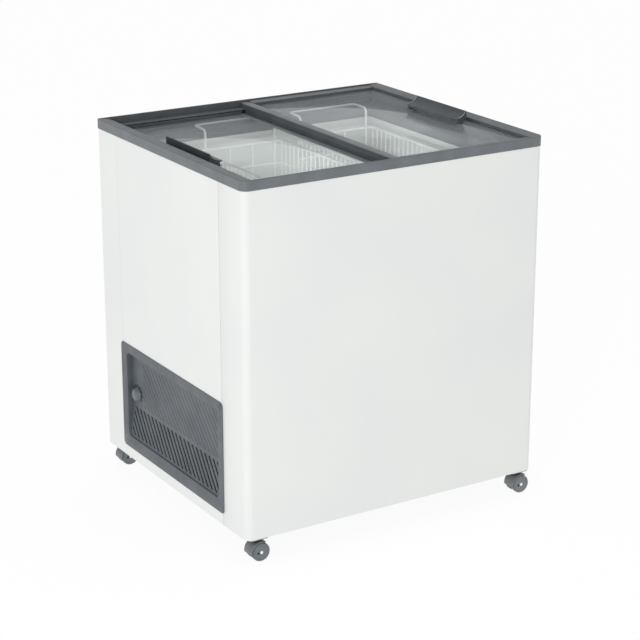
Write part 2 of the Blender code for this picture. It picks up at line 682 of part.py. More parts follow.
# Casters: a plate under the cabinet, a swivelling hood, and two wheels on one axle.
def make_caster(name, x, y):
    plate_top = CABINET_BOTTOM - GAP
    plate = cuboid((x - 0.020, y - 0.018, plate_top - 0.002), (x + 0.020, y + 0.018, plate_top))
    keep(f"{name}_plate", round_edges(plate, 0.004, 2, segments=2), GALVANISED)
    swivel = (x, y, 0.040)
    hub = Vector((x + TRAIL, y, WHEEL_RADIUS))
    half = WHEEL_SPAN[1] + 0.0004
    across = Vector((0.0, 1.0, 0.0))
    cover = rod(hub - across * half, hub + across * half, HOOD_RADIUS, 28)
    shell = smooth(keep(f"{name}_hood", cover, CASTER_GREY, at=swivel))
    pockets = []
    for side in (-1, 1):
        near = hub + across * side * (WHEEL_SPAN[0] - 0.0006)
        far = hub + across * side * (half + 0.002)
        pockets.append(rod(near, far, WHEEL_RADIUS + 0.0014, 28))
    combine(shell, merged(*pockets), "DIFFERENCE")
    web = WHEEL_SPAN[0] - 0.0006
    skirt = WHEEL_RADIUS + 0.004
    below = [
        cuboid((x - 0.04, y - 0.03, -0.01), (x + 0.04, y - web, skirt)),
        cuboid((x - 0.04, y + web, -0.01), (x + 0.04, y + 0.03, skirt)),
        cuboid((x - 0.04, y - 0.0045, -0.01), (x + 0.04, y + 0.0045, WHEEL_RADIUS - 0.007)),
    ]
    for cutter in below:
        combine(shell, cutter, "DIFFERENCE")
    neck = rod((x, y, 0.0398), (x, y, plate_top - 0.002 - GAP), 0.011, 24)
    combine(shell, neck, "UNION")
    combine(shell, rod(hub - across * 0.01, hub + across * 0.01, BORE_RADIUS, 12), "DIFFERENCE")
    axle = rod(hub - across * (half - 0.0006), hub + across * (half - 0.0006), AXLE_RADIUS, 12)
    smooth(keep(f"{name}_axle", axle, STEEL, at=hub))
    near, far = WHEEL_SPAN
    edge = 0.0022
    profile = [
        (BORE_RADIUS, far), (WHEEL_RADIUS - edge, far), (WHEEL_RADIUS, far - edge),
        (WHEEL_RADIUS, near + edge), (WHEEL_RADIUS - edge, near), (BORE_RADIUS, near),
        (BORE_RADIUS, far),
    ]
    for place, way in (("front", -1), ("rear", 1)):
        turned(f"{name}_{place}_wheel", profile, CASTER_GREY, hub, (0, way, 0), 28)


def make_casters():
    for place_y, y in (("front", -SWIVEL_Y), ("rear", SWIVEL_Y)):
        for place_x, x in (("left", -SWIVEL_X), ("right", SWIVEL_X)):
            make_caster(f"{place_y}_{place_x}_caster", x, y)


make_skin()
make_insulation()
make_liner()
make_evaporator()
make_rim()
make_tracks()
make_collar()
make_grille()
make_thermostat()
make_machine()
make_lids()
make_baskets()
make_casters()
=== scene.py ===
"""Chest freezer with two sliding glass lids: its visible surfaces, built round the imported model."""

import math

import bmesh
import bpy
from mathutils import Matrix, Vector


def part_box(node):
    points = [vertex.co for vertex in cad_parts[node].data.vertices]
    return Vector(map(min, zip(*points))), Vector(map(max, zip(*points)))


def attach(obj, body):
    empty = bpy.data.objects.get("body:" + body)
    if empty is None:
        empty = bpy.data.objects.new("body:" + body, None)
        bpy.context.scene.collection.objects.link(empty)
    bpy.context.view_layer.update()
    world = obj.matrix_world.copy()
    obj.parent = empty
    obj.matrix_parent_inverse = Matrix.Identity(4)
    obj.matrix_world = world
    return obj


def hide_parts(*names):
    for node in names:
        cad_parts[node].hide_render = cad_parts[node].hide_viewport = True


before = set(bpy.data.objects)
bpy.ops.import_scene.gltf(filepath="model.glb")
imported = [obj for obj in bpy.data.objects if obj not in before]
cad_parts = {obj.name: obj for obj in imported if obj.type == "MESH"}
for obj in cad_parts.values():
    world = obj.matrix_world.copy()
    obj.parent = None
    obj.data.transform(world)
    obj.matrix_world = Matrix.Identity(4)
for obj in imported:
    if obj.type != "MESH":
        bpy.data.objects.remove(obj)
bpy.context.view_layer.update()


# Cabinet skin. Two panels of 0.8 mm steel sheet are bent round the front and the rear, and a
# flat panel fills each end between them. All are powder-coated white, hook under the rim at the
# top and are screwed to the base plate underneath.
def shade(red, green, blue):
    """A colour from 0 to 255 as it looks on a screen, as the linear value that shaders take."""
    return tuple(((part / 255 + 0.055) / 1.055) ** 2.4 for part in (red, green, blue))


def set_inputs(node, values):
    """Set a node's inputs by their names."""
    for name, value in values.items():
        node.inputs[name].default_value = value


def plain_finish(name, colour, roughness, metallic=0.0, coat=0.0):
    """A finish of one colour, before any pattern is laid on it."""
    finish = bpy.data.materials.new(name)
    finish.use_nodes = True
    set_inputs(finish.node_tree.nodes["Principled BSDF"], {
        "Base Color": (*colour, 1.0), "Roughness": roughness, "Metallic": metallic,
        "Coat Weight": coat, "Coat Roughness": 0.12,
    })
    return finish


def cloudy(finish, size, detail, stretch=(1.0, 1.0, 1.0)):
    """A soft random pattern whose patches are about one size across, in metres."""
    nodes, links = finish.node_tree.nodes, finish.node_tree.links
    place = nodes.new("ShaderNodeTexCoord")
    fit = nodes.new("ShaderNodeMapping")
    set_inputs(fit, {"Scale": [way / size for way in stretch]})
    noise = nodes.new("ShaderNodeTexNoise")
    set_inputs(noise, {"Scale": 1.0, "Detail": detail})
    links.new(place.outputs["Object"], fit.inputs["Vector"])
    links.new(fit.outputs["Vector"], noise.inputs["Vector"])
    return noise.outputs["Fac"]


def laid(finish, pattern):
    """A pattern's output: one already made, or a cloudy one of that size, detail and stretch."""
    return cloudy(finish, *pattern) if isinstance(pattern, tuple) else pattern


def tinted(finish, pattern, first, second, start=0.35, stop=0.65):
    """Let the colour run from one shade to another along a pattern."""
    pattern = laid(finish, pattern)
    nodes, links = finish.node_tree.nodes, finish.node_tree.links
    ramp = nodes.new("ShaderNodeValToRGB")
    for mark, position, colour in zip(ramp.color_ramp.elements, (start, stop), (first, second)):
        mark.position = position
        mark.color = (*colour, 1.0)
    links.new(pattern, ramp.inputs["Fac"])
    links.new(ramp.outputs["Color"], nodes["Principled BSDF"].inputs["Base Color"])


def uneven_gloss(finish, pattern, glossy, dull):
    """Let the roughness run between two values along a pattern."""
    pattern = laid(finish, pattern)
    nodes, links = finish.node_tree.nodes, finish.node_tree.links
    fit = nodes.new("ShaderNodeMapRange")
    set_inputs(fit, {"From Min": 0.3, "From Max": 0.7, "To Min": glossy, "To Max": dull})
    links.new(pattern, fit.inputs["Value"])
    links.new(fit.outputs["Result"], nodes["Principled BSDF"].inputs["Roughness"])


def textured(finish, pattern, depth, strength=1.0):
    """Raise the surface along a pattern by a depth in metres, on top of any earlier texture."""
    pattern = laid(finish, pattern)
    nodes, links = finish.node_tree.nodes, finish.node_tree.links
    normal = nodes["Principled BSDF"].inputs["Normal"]
    bump = nodes.new("ShaderNodeBump")
    set_inputs(bump, {"Strength": strength, "Distance": depth})
    if normal.is_linked:
        links.new(normal.links[0].from_socket, bump.inputs["Normal"])
    links.new(pattern, bump.inputs["Height"])
    links.new(bump.outputs["Normal"], normal)


def quarter(steps, first=0):
    """The sine and cosine at even steps through a quarter turn."""
    angles = [math.pi / 2 * step / steps for step in range(first, steps + 1)]
    return [(math.sin(angle), math.cos(angle)) for angle in angles]


def rounded(corners, radius, steps):
    """A path through square corners with each inner corner turned into an arc, flat or in space."""
    corners = [Vector(corner) for corner in corners]
    path = [corners[0]]
    for before, corner, after in zip(corners, corners[1:], corners[2:]):
        back = (before - corner).normalized()
        ahead = (after - corner).normalized()
        for sine, cosine in quarter(steps):
            path.append(corner + radius * (ahead * (1.0 - cosine) + back * (1.0 - sine)))
    path.append(corners[-1])
    return path


def verts_of(made):
    """The points among what a bmesh operator made."""
    return [item for item in made if isinstance(item, bmesh.types.BMVert)]


def extruded(outline, along, low, high):
    """A flat outline pushed along one axis (0, 1 or 2). Its points are the other two axes."""
    bm = bmesh.new()
    corners = []
    for first, second in outline:
        point = [first, second]
        point.insert(along, low)
        corners.append(bm.verts.new(point))
    face = bm.faces.new(corners)
    made = bmesh.ops.extrude_face_region(bm, geom=[face])["geom"]
    shift = Vector((0.0, 0.0, 0.0))
    shift[along] = high - low
    bmesh.ops.translate(bm, vec=shift, verts=verts_of(made))
    bmesh.ops.recalc_face_normals(bm, faces=bm.faces)
    return bm


def middle_of(edge):
    """The middle point of an edge."""
    return (edge.verts[0].co + edge.verts[1].co) / 2


def soften(bm, radius, where=lambda middle: True):
    """Round every sharp edge whose middle point is wanted."""
    edges = [
        edge for edge in bm.edges
        if len(edge.link_faces) == 2 and edge.calc_face_angle(0.0) > math.radians(40.0)
        and where(middle_of(edge))
    ]
    bmesh.ops.bevel(
        bm, geom=edges, offset=radius, segments=2, profile=0.5, affect="EDGES", material=-1,
        clamp_overlap=True,
    )
    return bm


def painted(bm, index, wanted=lambda face: True):
    """Give the wanted faces the finish of that number."""
    for face in bm.faces:
        if wanted(face):
            face.material_index = index
    return bm


def placed(name, data):
    """An object that holds some data, in the scene."""
    thing = bpy.data.objects.new(name, data)
    bpy.context.scene.collection.objects.link(thing)
    return thing


def fit_piece(name, bm, finishes, body, stands_for=(), crease=35.0):
    """Make a mesh the piece of that name: it rides on a body and stands for its CAD nodes."""
    mesh = bpy.data.meshes.new(name)
    bm.to_mesh(mesh)
    bm.free()
    for finish in finishes:
        mesh.materials.append(finish)
    mesh.shade_smooth()
    mesh.set_sharp_from_angle(angle=math.radians(crease))
    piece = placed(name, mesh)
    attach(piece, body)
    if stands_for:
        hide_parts(*stands_for)
    return piece


def dress(node, finish):
    """Give a CAD node whose shape is right its finish."""
    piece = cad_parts[node]
    piece.data.materials.clear()
    piece.data.materials.append(finish)


WHITE_POWDER_COAT = plain_finish("white_powder_coat", shade(229, 232, 230), 0.34, coat=0.15)
tinted(WHITE_POWDER_COAT, (0.22, 2.0), shade(228, 231, 230), shade(232, 234, 231))
uneven_gloss(WHITE_POWDER_COAT, (0.06, 4.0), 0.30, 0.38)
textured(WHITE_POWDER_COAT, (0.0016, 1.0), 0.00002, 0.35)

SKIN_THICKNESS = 0.0008
SEAM_ROUNDING = 0.00035
FRONT_CORNER = 0.015
CORNER_STEPS = 14
NEAR = 0.0001
low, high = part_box("front_panel")
inner_x, inner_y = high.x - SKIN_THICKNESS, low.y + SKIN_THICKNESS
outside = rounded(
    [(-high.x, high.y), (-high.x, low.y), (high.x, low.y), (high.x, high.y)], FRONT_CORNER,
    CORNER_STEPS,
)
inside = rounded(
    [(-inner_x, high.y), (-inner_x, inner_y), (inner_x, inner_y), (inner_x, high.y)],
    FRONT_CORNER - SKIN_THICKNESS, CORNER_STEPS,
)
wrap = extruded(outside + inside[::-1], 2, low.z, high.z)
seam = high.y
soften(wrap, SEAM_ROUNDING, where=lambda middle: abs(middle.y - seam) < NEAR)
fit_piece(
    "front_wrap_panel", wrap, [WHITE_POWDER_COAT], "cabinet", ["front_panel"]
)
for node in ("rear_panel", "left_end_panel", "right_end_panel"):
    dress(node, WHITE_POWDER_COAT)


# Base plate and machine tray. Galvanised sheet, with the crystal spangle that hot-dip zinc has.
def spangled(finish, size, dark, light):
    """Crystal patches of zinc, each a flat tone with its own gloss."""
    nodes, links = finish.node_tree.nodes, finish.node_tree.links
    place = nodes.new("ShaderNodeTexCoord")
    cells = nodes.new("ShaderNodeTexVoronoi")
    set_inputs(cells, {"Scale": 1.0 / size})
    tone = nodes.new("ShaderNodeSeparateColor")
    links.new(place.outputs["Object"], cells.inputs["Vector"])
    links.new(cells.outputs["Color"], tone.inputs["Color"])
    tinted(finish, tone.outputs["Red"], dark, light, 0.0, 1.0)
    uneven_gloss(finish, tone.outputs["Green"], 0.28, 0.50)


ZINC = plain_finish("spangled_zinc", shade(150, 153, 156), 0.4, 1.0)
spangled(ZINC, 0.009, shade(140, 144, 148), shade(172, 175, 178))
dress("base_plate", ZINC)
dress("machine_tray", ZINC)


# Insulation, seen only past the edges of the machine compartment: foamed-in-place polyurethane.
FOAM = plain_finish("polyurethane_foam", (0.62, 0.48, 0.24), 0.9)
tinted(FOAM, (0.012, 5.0), (0.52, 0.39, 0.18), (0.70, 0.56, 0.30))
textured(FOAM, (0.004, 4.0), 0.0008, 0.6)
dress("insulation", FOAM)


# Inner liner. One tub of thin painted aluminium sheet with rounded corners, stepped up at the
# left end over the machine compartment. Its flange lies on the foam under the collar.
LINER_CREAM = plain_finish("cream_liner_paint", shade(220, 223, 219), 0.38)
tinted(LINER_CREAM, (0.12, 3.0), shade(216, 219, 214), shade(226, 229, 226))
textured(LINER_CREAM, (0.003, 3.0), 0.00004, 0.5)
uneven_gloss(LINER_CREAM, (0.03, 4.0), 0.30, 0.46)

LINER_HALF = (0.2785, 0.2315)
LINER_FLOOR = 0.105
LINER_STEP = (-0.070, 0.350)
LINER_CORNER = 0.014
LINER_WALL = 0.001
FLANGE_HALF = (0.308, 0.288)
flange_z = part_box("inner_liner")[1].z - LINER_WALL

side_view = [
    (-LINER_HALF[0], LINER_STEP[1]), (LINER_STEP[0], LINER_STEP[1]), (LINER_STEP[0], LINER_FLOOR),
    (LINER_HALF[0], LINER_FLOOR), (LINER_HALF[0], flange_z), (-LINER_HALF[0], flange_z),
]
tub = extruded(side_view, 1, -LINER_HALF[1], LINER_HALF[1])
mouth = [face for face in tub.faces if face.calc_center_median().z > flange_z - NEAR]
bmesh.ops.delete(tub, geom=mouth, context="FACES_ONLY")
# The step's nose stays sharp, since a rounded one would let the foam behind it through.
nose = Vector((LINER_STEP[0], 0.0, LINER_STEP[1]))
folds = []
for edge in tub.edges:
    if not edge.is_boundary and (middle_of(edge) - nose).length > 10 * NEAR:
        folds.append(edge)
bmesh.ops.bevel(
    tub, geom=folds, offset=LINER_CORNER, segments=6, profile=0.5, affect="EDGES", material=-1
)
bmesh.ops.reverse_faces(tub, faces=tub.faces)
lip = [edge for edge in tub.edges if edge.is_boundary]
flange = verts_of(bmesh.ops.extrude_edge_only(tub, edges=lip)["geom"])
bmesh.ops.scale(
    tub, vec=(FLANGE_HALF[0] / LINER_HALF[0], FLANGE_HALF[1] / LINER_HALF[1], 1.0), verts=flange
)


def thickened(piece, thickness):
    """Give a piece that is one sheet its wall, on the sheet's back."""
    wall = piece.modifiers.new("Wall", "SOLIDIFY")
    wall.thickness = thickness
    wall.offset = -1.0


liner = fit_piece(
    "liner_tub", tub, [LINER_CREAM], "cabinet", ["inner_liner"], crease=50.0
)
thickened(liner, LINER_WALL)


# Evaporator: aluminium tube wound round the liner, buried in the foam.
DULL_ALUMINIUM = plain_finish("dull_aluminium", (0.72, 0.73, 0.74), 0.38, 1.0)
uneven_gloss(DULL_ALUMINIUM, (0.01, 3.0), 0.3, 0.5)
dress("evaporator_tube", DULL_ALUMINIUM)


# Rim. A grey plastic moulding caps the cabinet: an outer band with a narrow lip all round, and
# a wide border at each end that slopes down to the well. Its inner faces take a darker grey,
# painted shade for the shadow down in the well.
def moulded_grey(name, dark, light, glossy, dull):
    """Injection-moulded plastic: nearly one colour (0 to 255), under a fine spark-eroded texture."""
    finish = plain_finish(name, shade(*light), dull)
    tinted(finish, (0.05, 3.0), shade(*dark), shade(*light))
    uneven_gloss(finish, (0.02, 4.0), glossy, dull)
    textured(finish, (0.0007, 2.0), 0.00003, 0.6)
    return finish


RIM_GREY = moulded_grey("rim_grey", (100, 106, 110), (108, 114, 118), 0.36, 0.46)
# A darker grey for the upright faces down in the well, on rim, tracks and runners: painted shade.
WELL_PAINTED_SHADE_GREY = moulded_grey("well_painted_shade_grey", (76, 80, 85), (86, 90, 95), 0.44, 0.56)

RIM_FRONT_CORNER = 0.0162
RIM_ROUNDING = 0.0014
RIM_SHOULDER = 0.0025
RIM_REAR_CORNER = 0.0052
RIM_LIP = 0.0045
RIM_BAND = 0.0195
BORDER_INNER_X = 0.3145
BORDER_FALL = 0.0023
BORDER_CORNER = 0.0122
SHELF_Z = 0.7233


def rounded_loop(low, high, radius, segments):
    """A level rectangle of bare edges between two corners, with its own corners rounded."""
    bm = bmesh.new()
    centre = [(a + b) / 2 for a, b in zip(low, high)]
    stretch = Matrix.Diagonal((high[0] - low[0], high[1] - low[1], 1.0, 1.0))
    bmesh.ops.create_grid(
        bm, x_segments=1, y_segments=1, size=0.5, matrix=Matrix.Translation(centre) @ stretch
    )
    bmesh.ops.bevel(
        bm, geom=bm.verts[:], offset=radius, segments=segments, profile=0.5, affect="VERTICES",
        material=-1,
    )
    bmesh.ops.delete(bm, geom=bm.faces[:], context="FACES_ONLY")
    return bm


def gathered(*shapes):
    """Several meshes as one, each still closed."""
    whole = bmesh.new()
    for shape in shapes:
        held = bpy.data.meshes.new("held")
        shape.to_mesh(held)
        shape.free()
        whole.from_mesh(held)
        bpy.data.meshes.remove(held)
    return whole


def block(low, high):
    """A plain box between two corners, to be worked further."""
    bm = bmesh.new()
    size = [b - a for a, b in zip(low, high)]
    centre = [(a + b) / 2 for a, b in zip(low, high)]
    bmesh.ops.create_cube(
        bm, size=1.0, matrix=Matrix.Translation(centre) @ Matrix.Diagonal((*size, 1.0))
    )
    return bm


def round_upright(bm, x, y, radius, segments):
    """Round the one upright edge of a block that stands at a place."""
    upright = [
        edge for edge in bm.edges
        if abs(edge.verts[0].co.z - edge.verts[1].co.z) > 100 * NEAR
        and abs(edge.verts[0].co.x - x) < NEAR and abs(edge.verts[0].co.y - y) < NEAR
    ]
    bmesh.ops.bevel(
        bm, geom=upright, offset=radius, segments=segments, profile=0.5, affect="EDGES", material=-1
    )


rim_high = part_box("rim_frame")[1]
RIM_TOP = rim_high.z


def plan_loop(inset, steps=12):
    """The rim's outline from above, set in by a distance, as points in order."""
    loop = []
    half_x, half_y = rim_high.x - inset, rim_high.y - inset
    front, rear = RIM_FRONT_CORNER - inset, RIM_REAR_CORNER - inset
    for way_x, way_y, radius, start in (
        (-1, -1, front, 180), (1, -1, front, 270), (1, 1, rear, 0), (-1, 1, rear, 90)
    ):
        for step in range(steps + 1):
            angle = math.radians(start + 90.0 * step / steps)
            x = way_x * (half_x - radius) + radius * math.cos(angle)
            loop.append((x, way_y * (half_y - radius) + radius * math.sin(angle)))
    return loop


# Each row of the band is (inset from the outline, height), up its outer face and down its inner.
rim_rows = [(0.0, RIM_TOP - RIM_BAND), (0.0, RIM_TOP - RIM_SHOULDER)]
for sine, cosine in quarter(4):
    rim_rows.append((RIM_ROUNDING * (1.0 - cosine), RIM_TOP - RIM_ROUNDING * (1.0 - sine)))
rim_rows += [(RIM_LIP, RIM_TOP), (RIM_LIP, RIM_TOP - RIM_BAND)]
band = bmesh.new()
loops = [[band.verts.new((x, y, z)) for x, y in plan_loop(inset)] for inset, z in rim_rows]
for lower, upper in zip(loops, loops[1:] + loops[:1]):
    for number, corner in enumerate(lower):
        following = (number + 1) % len(lower)
        band.faces.new((corner, lower[following], upper[following], upper[number]))
bmesh.ops.recalc_face_normals(band, faces=band.faces)
borders = []
for side in (-1, 1):
    outer = side * (rim_high.x - RIM_LIP + 0.0005)
    inner = side * BORDER_INNER_X
    ends = sorted((inner, outer))
    reach_y = rim_high.y - RIM_LIP + 0.0004
    border = block((ends[0], -reach_y, SHELF_Z), (ends[1], reach_y, RIM_TOP - 0.00003))
    for vert in border.verts:
        if vert.co.z > SHELF_Z + NEAR and abs(vert.co.x - inner) < NEAR:
            vert.co.z -= BORDER_FALL
    round_upright(border, outer, -reach_y, BORDER_CORNER, 6)
    borders.append(
        soften(
            border, 0.0008,
            where=lambda middle: abs(middle.x - inner) < NEAR and middle.z > RIM_TOP - 0.01,
        )
    )


def faces_well(face):
    """Whether a face stands upright and looks in towards the mouth."""
    return abs(face.normal.z) < 0.3 and face.normal.xy.dot(face.calc_center_median().xy) < 0.0


# The upright faces that look into the well take the darker grey, as painted shade.
fit_piece(
    "rim_moulding", painted(gathered(band, *borders), 1, faces_well), [RIM_GREY, WELL_PAINTED_SHADE_GREY],
    "cabinet", ["rim_frame"],
)


# Lid tracks. Each long side has one extruded PVC length with two levels: an open ledge that
# the upper lid slides on, and a channel under it for the lower lid.
TRACK_OUTER = 0.2952
TRACK_WEB = 0.0015
TRACK_INNER = 0.2755
UPPER_LEDGE = RIM_TOP - 0.0147
LOWER_FLOOR = RIM_TOP - 0.0296
LEDGE_THICKNESS = 0.0020
NOSE = 0.0007
web = TRACK_OUTER - TRACK_WEB
shelf = UPPER_LEDGE - LEDGE_THICKNESS
track_profile = [
    (TRACK_OUTER, SHELF_Z), (TRACK_OUTER, RIM_TOP - 0.0006), (web, RIM_TOP - 0.0006),
    (web, UPPER_LEDGE), (TRACK_INNER + NOSE, UPPER_LEDGE), (TRACK_INNER, UPPER_LEDGE - NOSE),
    (TRACK_INNER, shelf + NOSE), (TRACK_INNER + NOSE, shelf), (web, shelf), (web, LOWER_FLOOR),
    (TRACK_INNER + NOSE, LOWER_FLOOR), (TRACK_INNER, LOWER_FLOOR - NOSE), (TRACK_INNER, SHELF_Z),
]
track_low, track_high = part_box("front_lid_track")
for node, way in (("front_lid_track", -1), ("rear_lid_track", 1)):
    length = extruded([(way * y, z) for y, z in track_profile], 0, track_low.x, track_high.x)
    # The track's faces that look along Y take the darker grey, as painted shade.
    painted(length, 1, lambda face: abs(face.normal.y) > 0.9)
    place = "front" if way < 0 else "rear"
    fit_piece(
        f"{place}_track_extrusion", length, [RIM_GREY, WELL_PAINTED_SHADE_GREY], "cabinet", [node]
    )


# Collar. A vacuum-formed grey frame: a flat shelf that the baskets hook over, a rounded edge,
# and a skirt that covers the joint with the liner.
COLLAR_GREY = moulded_grey("collar_grey", (92, 97, 102), (104, 109, 114), 0.40, 0.52)
COLLAR_HALF = (0.2765, 0.2295)
COLLAR_EDGE = 0.0025
COLLAR_CORNER = 0.010
COLLAR_BOTTOM = 0.702
COLLAR_SHELF = 0.7230
COLLAR_WALL = 0.0016
SHELF_HALF = (0.3142, 0.2935)


def drawn(bm, edges, shift, scale=(1.0, 1.0, 1.0), centre=(0.0, 0.0, 0.0)):
    """Draw an open edge on into a band of faces, scaled and moved, and return the new edge."""
    made = bmesh.ops.extrude_edge_only(bm, edges=edges)["geom"]
    moved = verts_of(made)
    bmesh.ops.scale(bm, vec=scale, space=Matrix.Translation(-Vector(centre)), verts=moved)
    bmesh.ops.translate(bm, vec=shift, verts=moved)
    return [item for item in made if isinstance(item, bmesh.types.BMEdge)]


skirt = rounded_loop((-COLLAR_HALF[0], -COLLAR_HALF[1], COLLAR_BOTTOM), (*COLLAR_HALF, COLLAR_BOTTOM),
                     COLLAR_CORNER, 8)
open_edge = drawn(skirt, skirt.edges[:], (0.0, 0.0, COLLAR_SHELF - COLLAR_BOTTOM - COLLAR_EDGE))
half_now, risen = COLLAR_HALF, 0.0
for sine, cosine in quarter(4, 1):
    wider = [half + COLLAR_EDGE * (1.0 - cosine) for half in COLLAR_HALF]
    scale = [new / old for new, old in zip(wider, half_now)]
    rise = COLLAR_EDGE * sine - risen
    open_edge = drawn(skirt, open_edge, (0.0, 0.0, rise), (*scale, 1.0))
    half_now, risen = wider, COLLAR_EDGE * sine
scale = [new / old for new, old in zip(SHELF_HALF, half_now)]
drawn(skirt, open_edge, (0.0, 0.0, 0.0), (*scale, 1.0))
bmesh.ops.recalc_face_normals(skirt, faces=skirt.faces)
if sum(face.normal.z * face.calc_area() for face in skirt.faces) < 0.0:
    bmesh.ops.reverse_faces(skirt, faces=skirt.faces)
collar = fit_piece(
    "collar_frame", skirt, [COLLAR_GREY], "cabinet", ["inner_collar"]
)
thickened(collar, COLLAR_WALL)


# Grille panel. One dark grey moulding in the left end: a flat flange, a shallow tray, and
# slanting blades between air slots. The slots are wide in the lower field, and fine lines above.
GRILLE_GREY = moulded_grey("grille_grey", (78, 84, 89), (89, 95, 100), 0.38, 0.50)

panel_low, panel_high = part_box("grille_panel")
FACE_X = panel_low.x
TRAY_FLOOR_X = -0.3278
TRAY_WALL = 0.0020
RECESS_Y = (-0.190, 0.198)
RECESS_Z = (0.100, 0.284)
TRAY_CORNER = 0.010
SLOTTED_Y = (-0.182, 0.190)
OPEN_Z = (0.105, 0.166)
FINE_Z = (0.174, 0.272)
SLOT_PITCH = 0.0175
OPEN_SLOT = 0.0050
FINE_SLOT = 0.0006
LEAN = 0.13
KNOB_SEAT_Y = 0.1465


def upright_loop(span_y, span_z, x, radius):
    """A rectangle of bare edges that stands across the X axis, with rounded corners."""
    bm = rounded_loop((span_z[0], span_y[0], 0.0), (span_z[1], span_y[1], 0.0), radius, 6)
    turn = Matrix(((0, 0, 1, x), (0, 1, 0, 0), (1, 0, 0, 0), (0, 0, 0, 1)))
    bmesh.ops.transform(bm, matrix=turn, verts=bm.verts)
    return bm


def narrowed(inward, span_y, span_z):
    """The scale that takes a distance off each side of a rectangle."""
    return 1.0, 1.0 - 2 * inward / (span_y[1] - span_y[0]), 1.0 - 2 * inward / (span_z[1] - span_z[0])


FLANGE_THICKNESS = 0.0008
FLANGE_ROUND = 0.0007
MOUTH_ROUND = 0.0015
panel_y, panel_z = (panel_low.y, panel_high.y), (panel_low.z, panel_high.z)
panel = upright_loop(panel_y, panel_z, FACE_X + FLANGE_THICKNESS, TRAY_CORNER)
side_edge = drawn(panel, panel.edges[:], (FLANGE_ROUND - FLANGE_THICKNESS, 0.0, 0.0))
drawn(
    panel, side_edge, (-FLANGE_ROUND, 0.0, 0.0), narrowed(FLANGE_ROUND, panel_y, panel_z),
    (0.0, sum(panel_y) / 2, sum(panel_z) / 2),
)
mouth_y = (RECESS_Y[0] - MOUTH_ROUND, RECESS_Y[1] + MOUTH_ROUND)
mouth_z = (RECESS_Z[0] - MOUTH_ROUND, RECESS_Z[1] + MOUTH_ROUND)
mouth_middle = (0.0, sum(mouth_y) / 2, sum(mouth_z) / 2)
mouth = upright_loop(mouth_y, mouth_z, FACE_X, TRAY_CORNER + MOUTH_ROUND)
mouth_edge = mouth.edges[:]
turn = quarter(3)
for (old_sine, old_cosine), (sine, cosine) in zip(turn, turn[1:]):
    inward = MOUTH_ROUND * (sine - old_sine)
    deeper = MOUTH_ROUND * (old_cosine - cosine)
    scale = narrowed(inward, mouth_y, mouth_z)
    mouth_edge = drawn(mouth, mouth_edge, (deeper, 0.0, 0.0), scale, mouth_middle)
    mouth_y = (mouth_y[0] + inward, mouth_y[1] - inward)
    mouth_z = (mouth_z[0] + inward, mouth_z[1] - inward)
drawn(mouth, mouth_edge, (TRAY_FLOOR_X - FACE_X - MOUTH_ROUND, 0.0, 0.0))
panel = gathered(panel, mouth)
at_face = [
    edge for edge in panel.edges
    if edge.is_boundary and all(abs(vert.co.x - FACE_X) < 0.1 * NEAR for vert in edge.verts)
]
bmesh.ops.bridge_loops(panel, edges=at_face)
bmesh.ops.recalc_face_normals(panel, faces=panel.faces)
flange = max(panel.faces, key=lambda face: abs(face.normal.x) * face.calc_area())
if flange.normal.x > 0.0:
    bmesh.ops.reverse_faces(panel, faces=panel.faces)

# The tray's floor: solid borders and a knob seat round the slotted field, and its blades.
floor_back = TRAY_FLOOR_X + TRAY_WALL
TUCKED = 0.001
edge_y = (RECESS_Y[0] - TUCKED, RECESS_Y[1] + TUCKED)
edge_z = (RECESS_Z[0] - TUCKED, RECESS_Z[1] + TUCKED)
frame_bars = [
    (edge_y, (edge_z[0], OPEN_Z[0])),
    ((edge_y[0], SLOTTED_Y[0]), OPEN_Z),
    ((SLOTTED_Y[1], edge_y[1]), OPEN_Z),
    (edge_y, (OPEN_Z[1], FINE_Z[0])),
    ((edge_y[0], SLOTTED_Y[0]), FINE_Z),
    ((KNOB_SEAT_Y, edge_y[1]), FINE_Z),
    (edge_y, (FINE_Z[1], edge_z[1])),
]
floor_parts = [
    block((TRAY_FLOOR_X, span_y[0], span_z[0]), (floor_back, span_y[1], span_z[1]))
    for span_y, span_z in frame_bars
]


def clipped(bm, point, normal):
    """Cut away what lies beyond a plane and close the cut."""
    cut = bmesh.ops.bisect_plane(
        bm, geom=bm.verts[:] + bm.edges[:] + bm.faces[:], dist=0.01 * NEAR, plane_co=point,
        plane_no=normal, clear_outer=True,
    )
    edges = [item for item in cut["geom_cut"] if isinstance(item, bmesh.types.BMEdge)]
    if edges:
        bmesh.ops.edgeloop_fill(bm, edges=edges)


def blade(width, span_y, span_z, foot):
    """One slanting blade, centred between two slots, cut to the field that it fills."""
    height = span_z[1] - span_z[0]
    middle_x = (TRAY_FLOOR_X + floor_back) / 2
    centre = (middle_x, foot + height / 2, sum(span_z) / 2)
    turn = Matrix.Rotation(math.radians(45.0), 4, "X")
    size = Matrix.Diagonal((TRAY_WALL, height * 2.0, width, 1.0))
    bm = bmesh.new()
    bmesh.ops.create_cube(bm, size=1.0, matrix=Matrix.Translation(centre) @ turn @ size)
    soften(bm, BLADE_ROUNDING, where=lambda middle: middle.x < middle_x)
    for point, normal in (
        ((0, span_y[0], 0), (0, -1, 0)), ((0, span_y[1], 0), (0, 1, 0)),
        ((0, 0, span_z[0]), (0, 0, -1)), ((0, 0, span_z[1]), (0, 0, 1)),
    ):
        if bm.faces:
            clipped(bm, point, normal)
    return bm


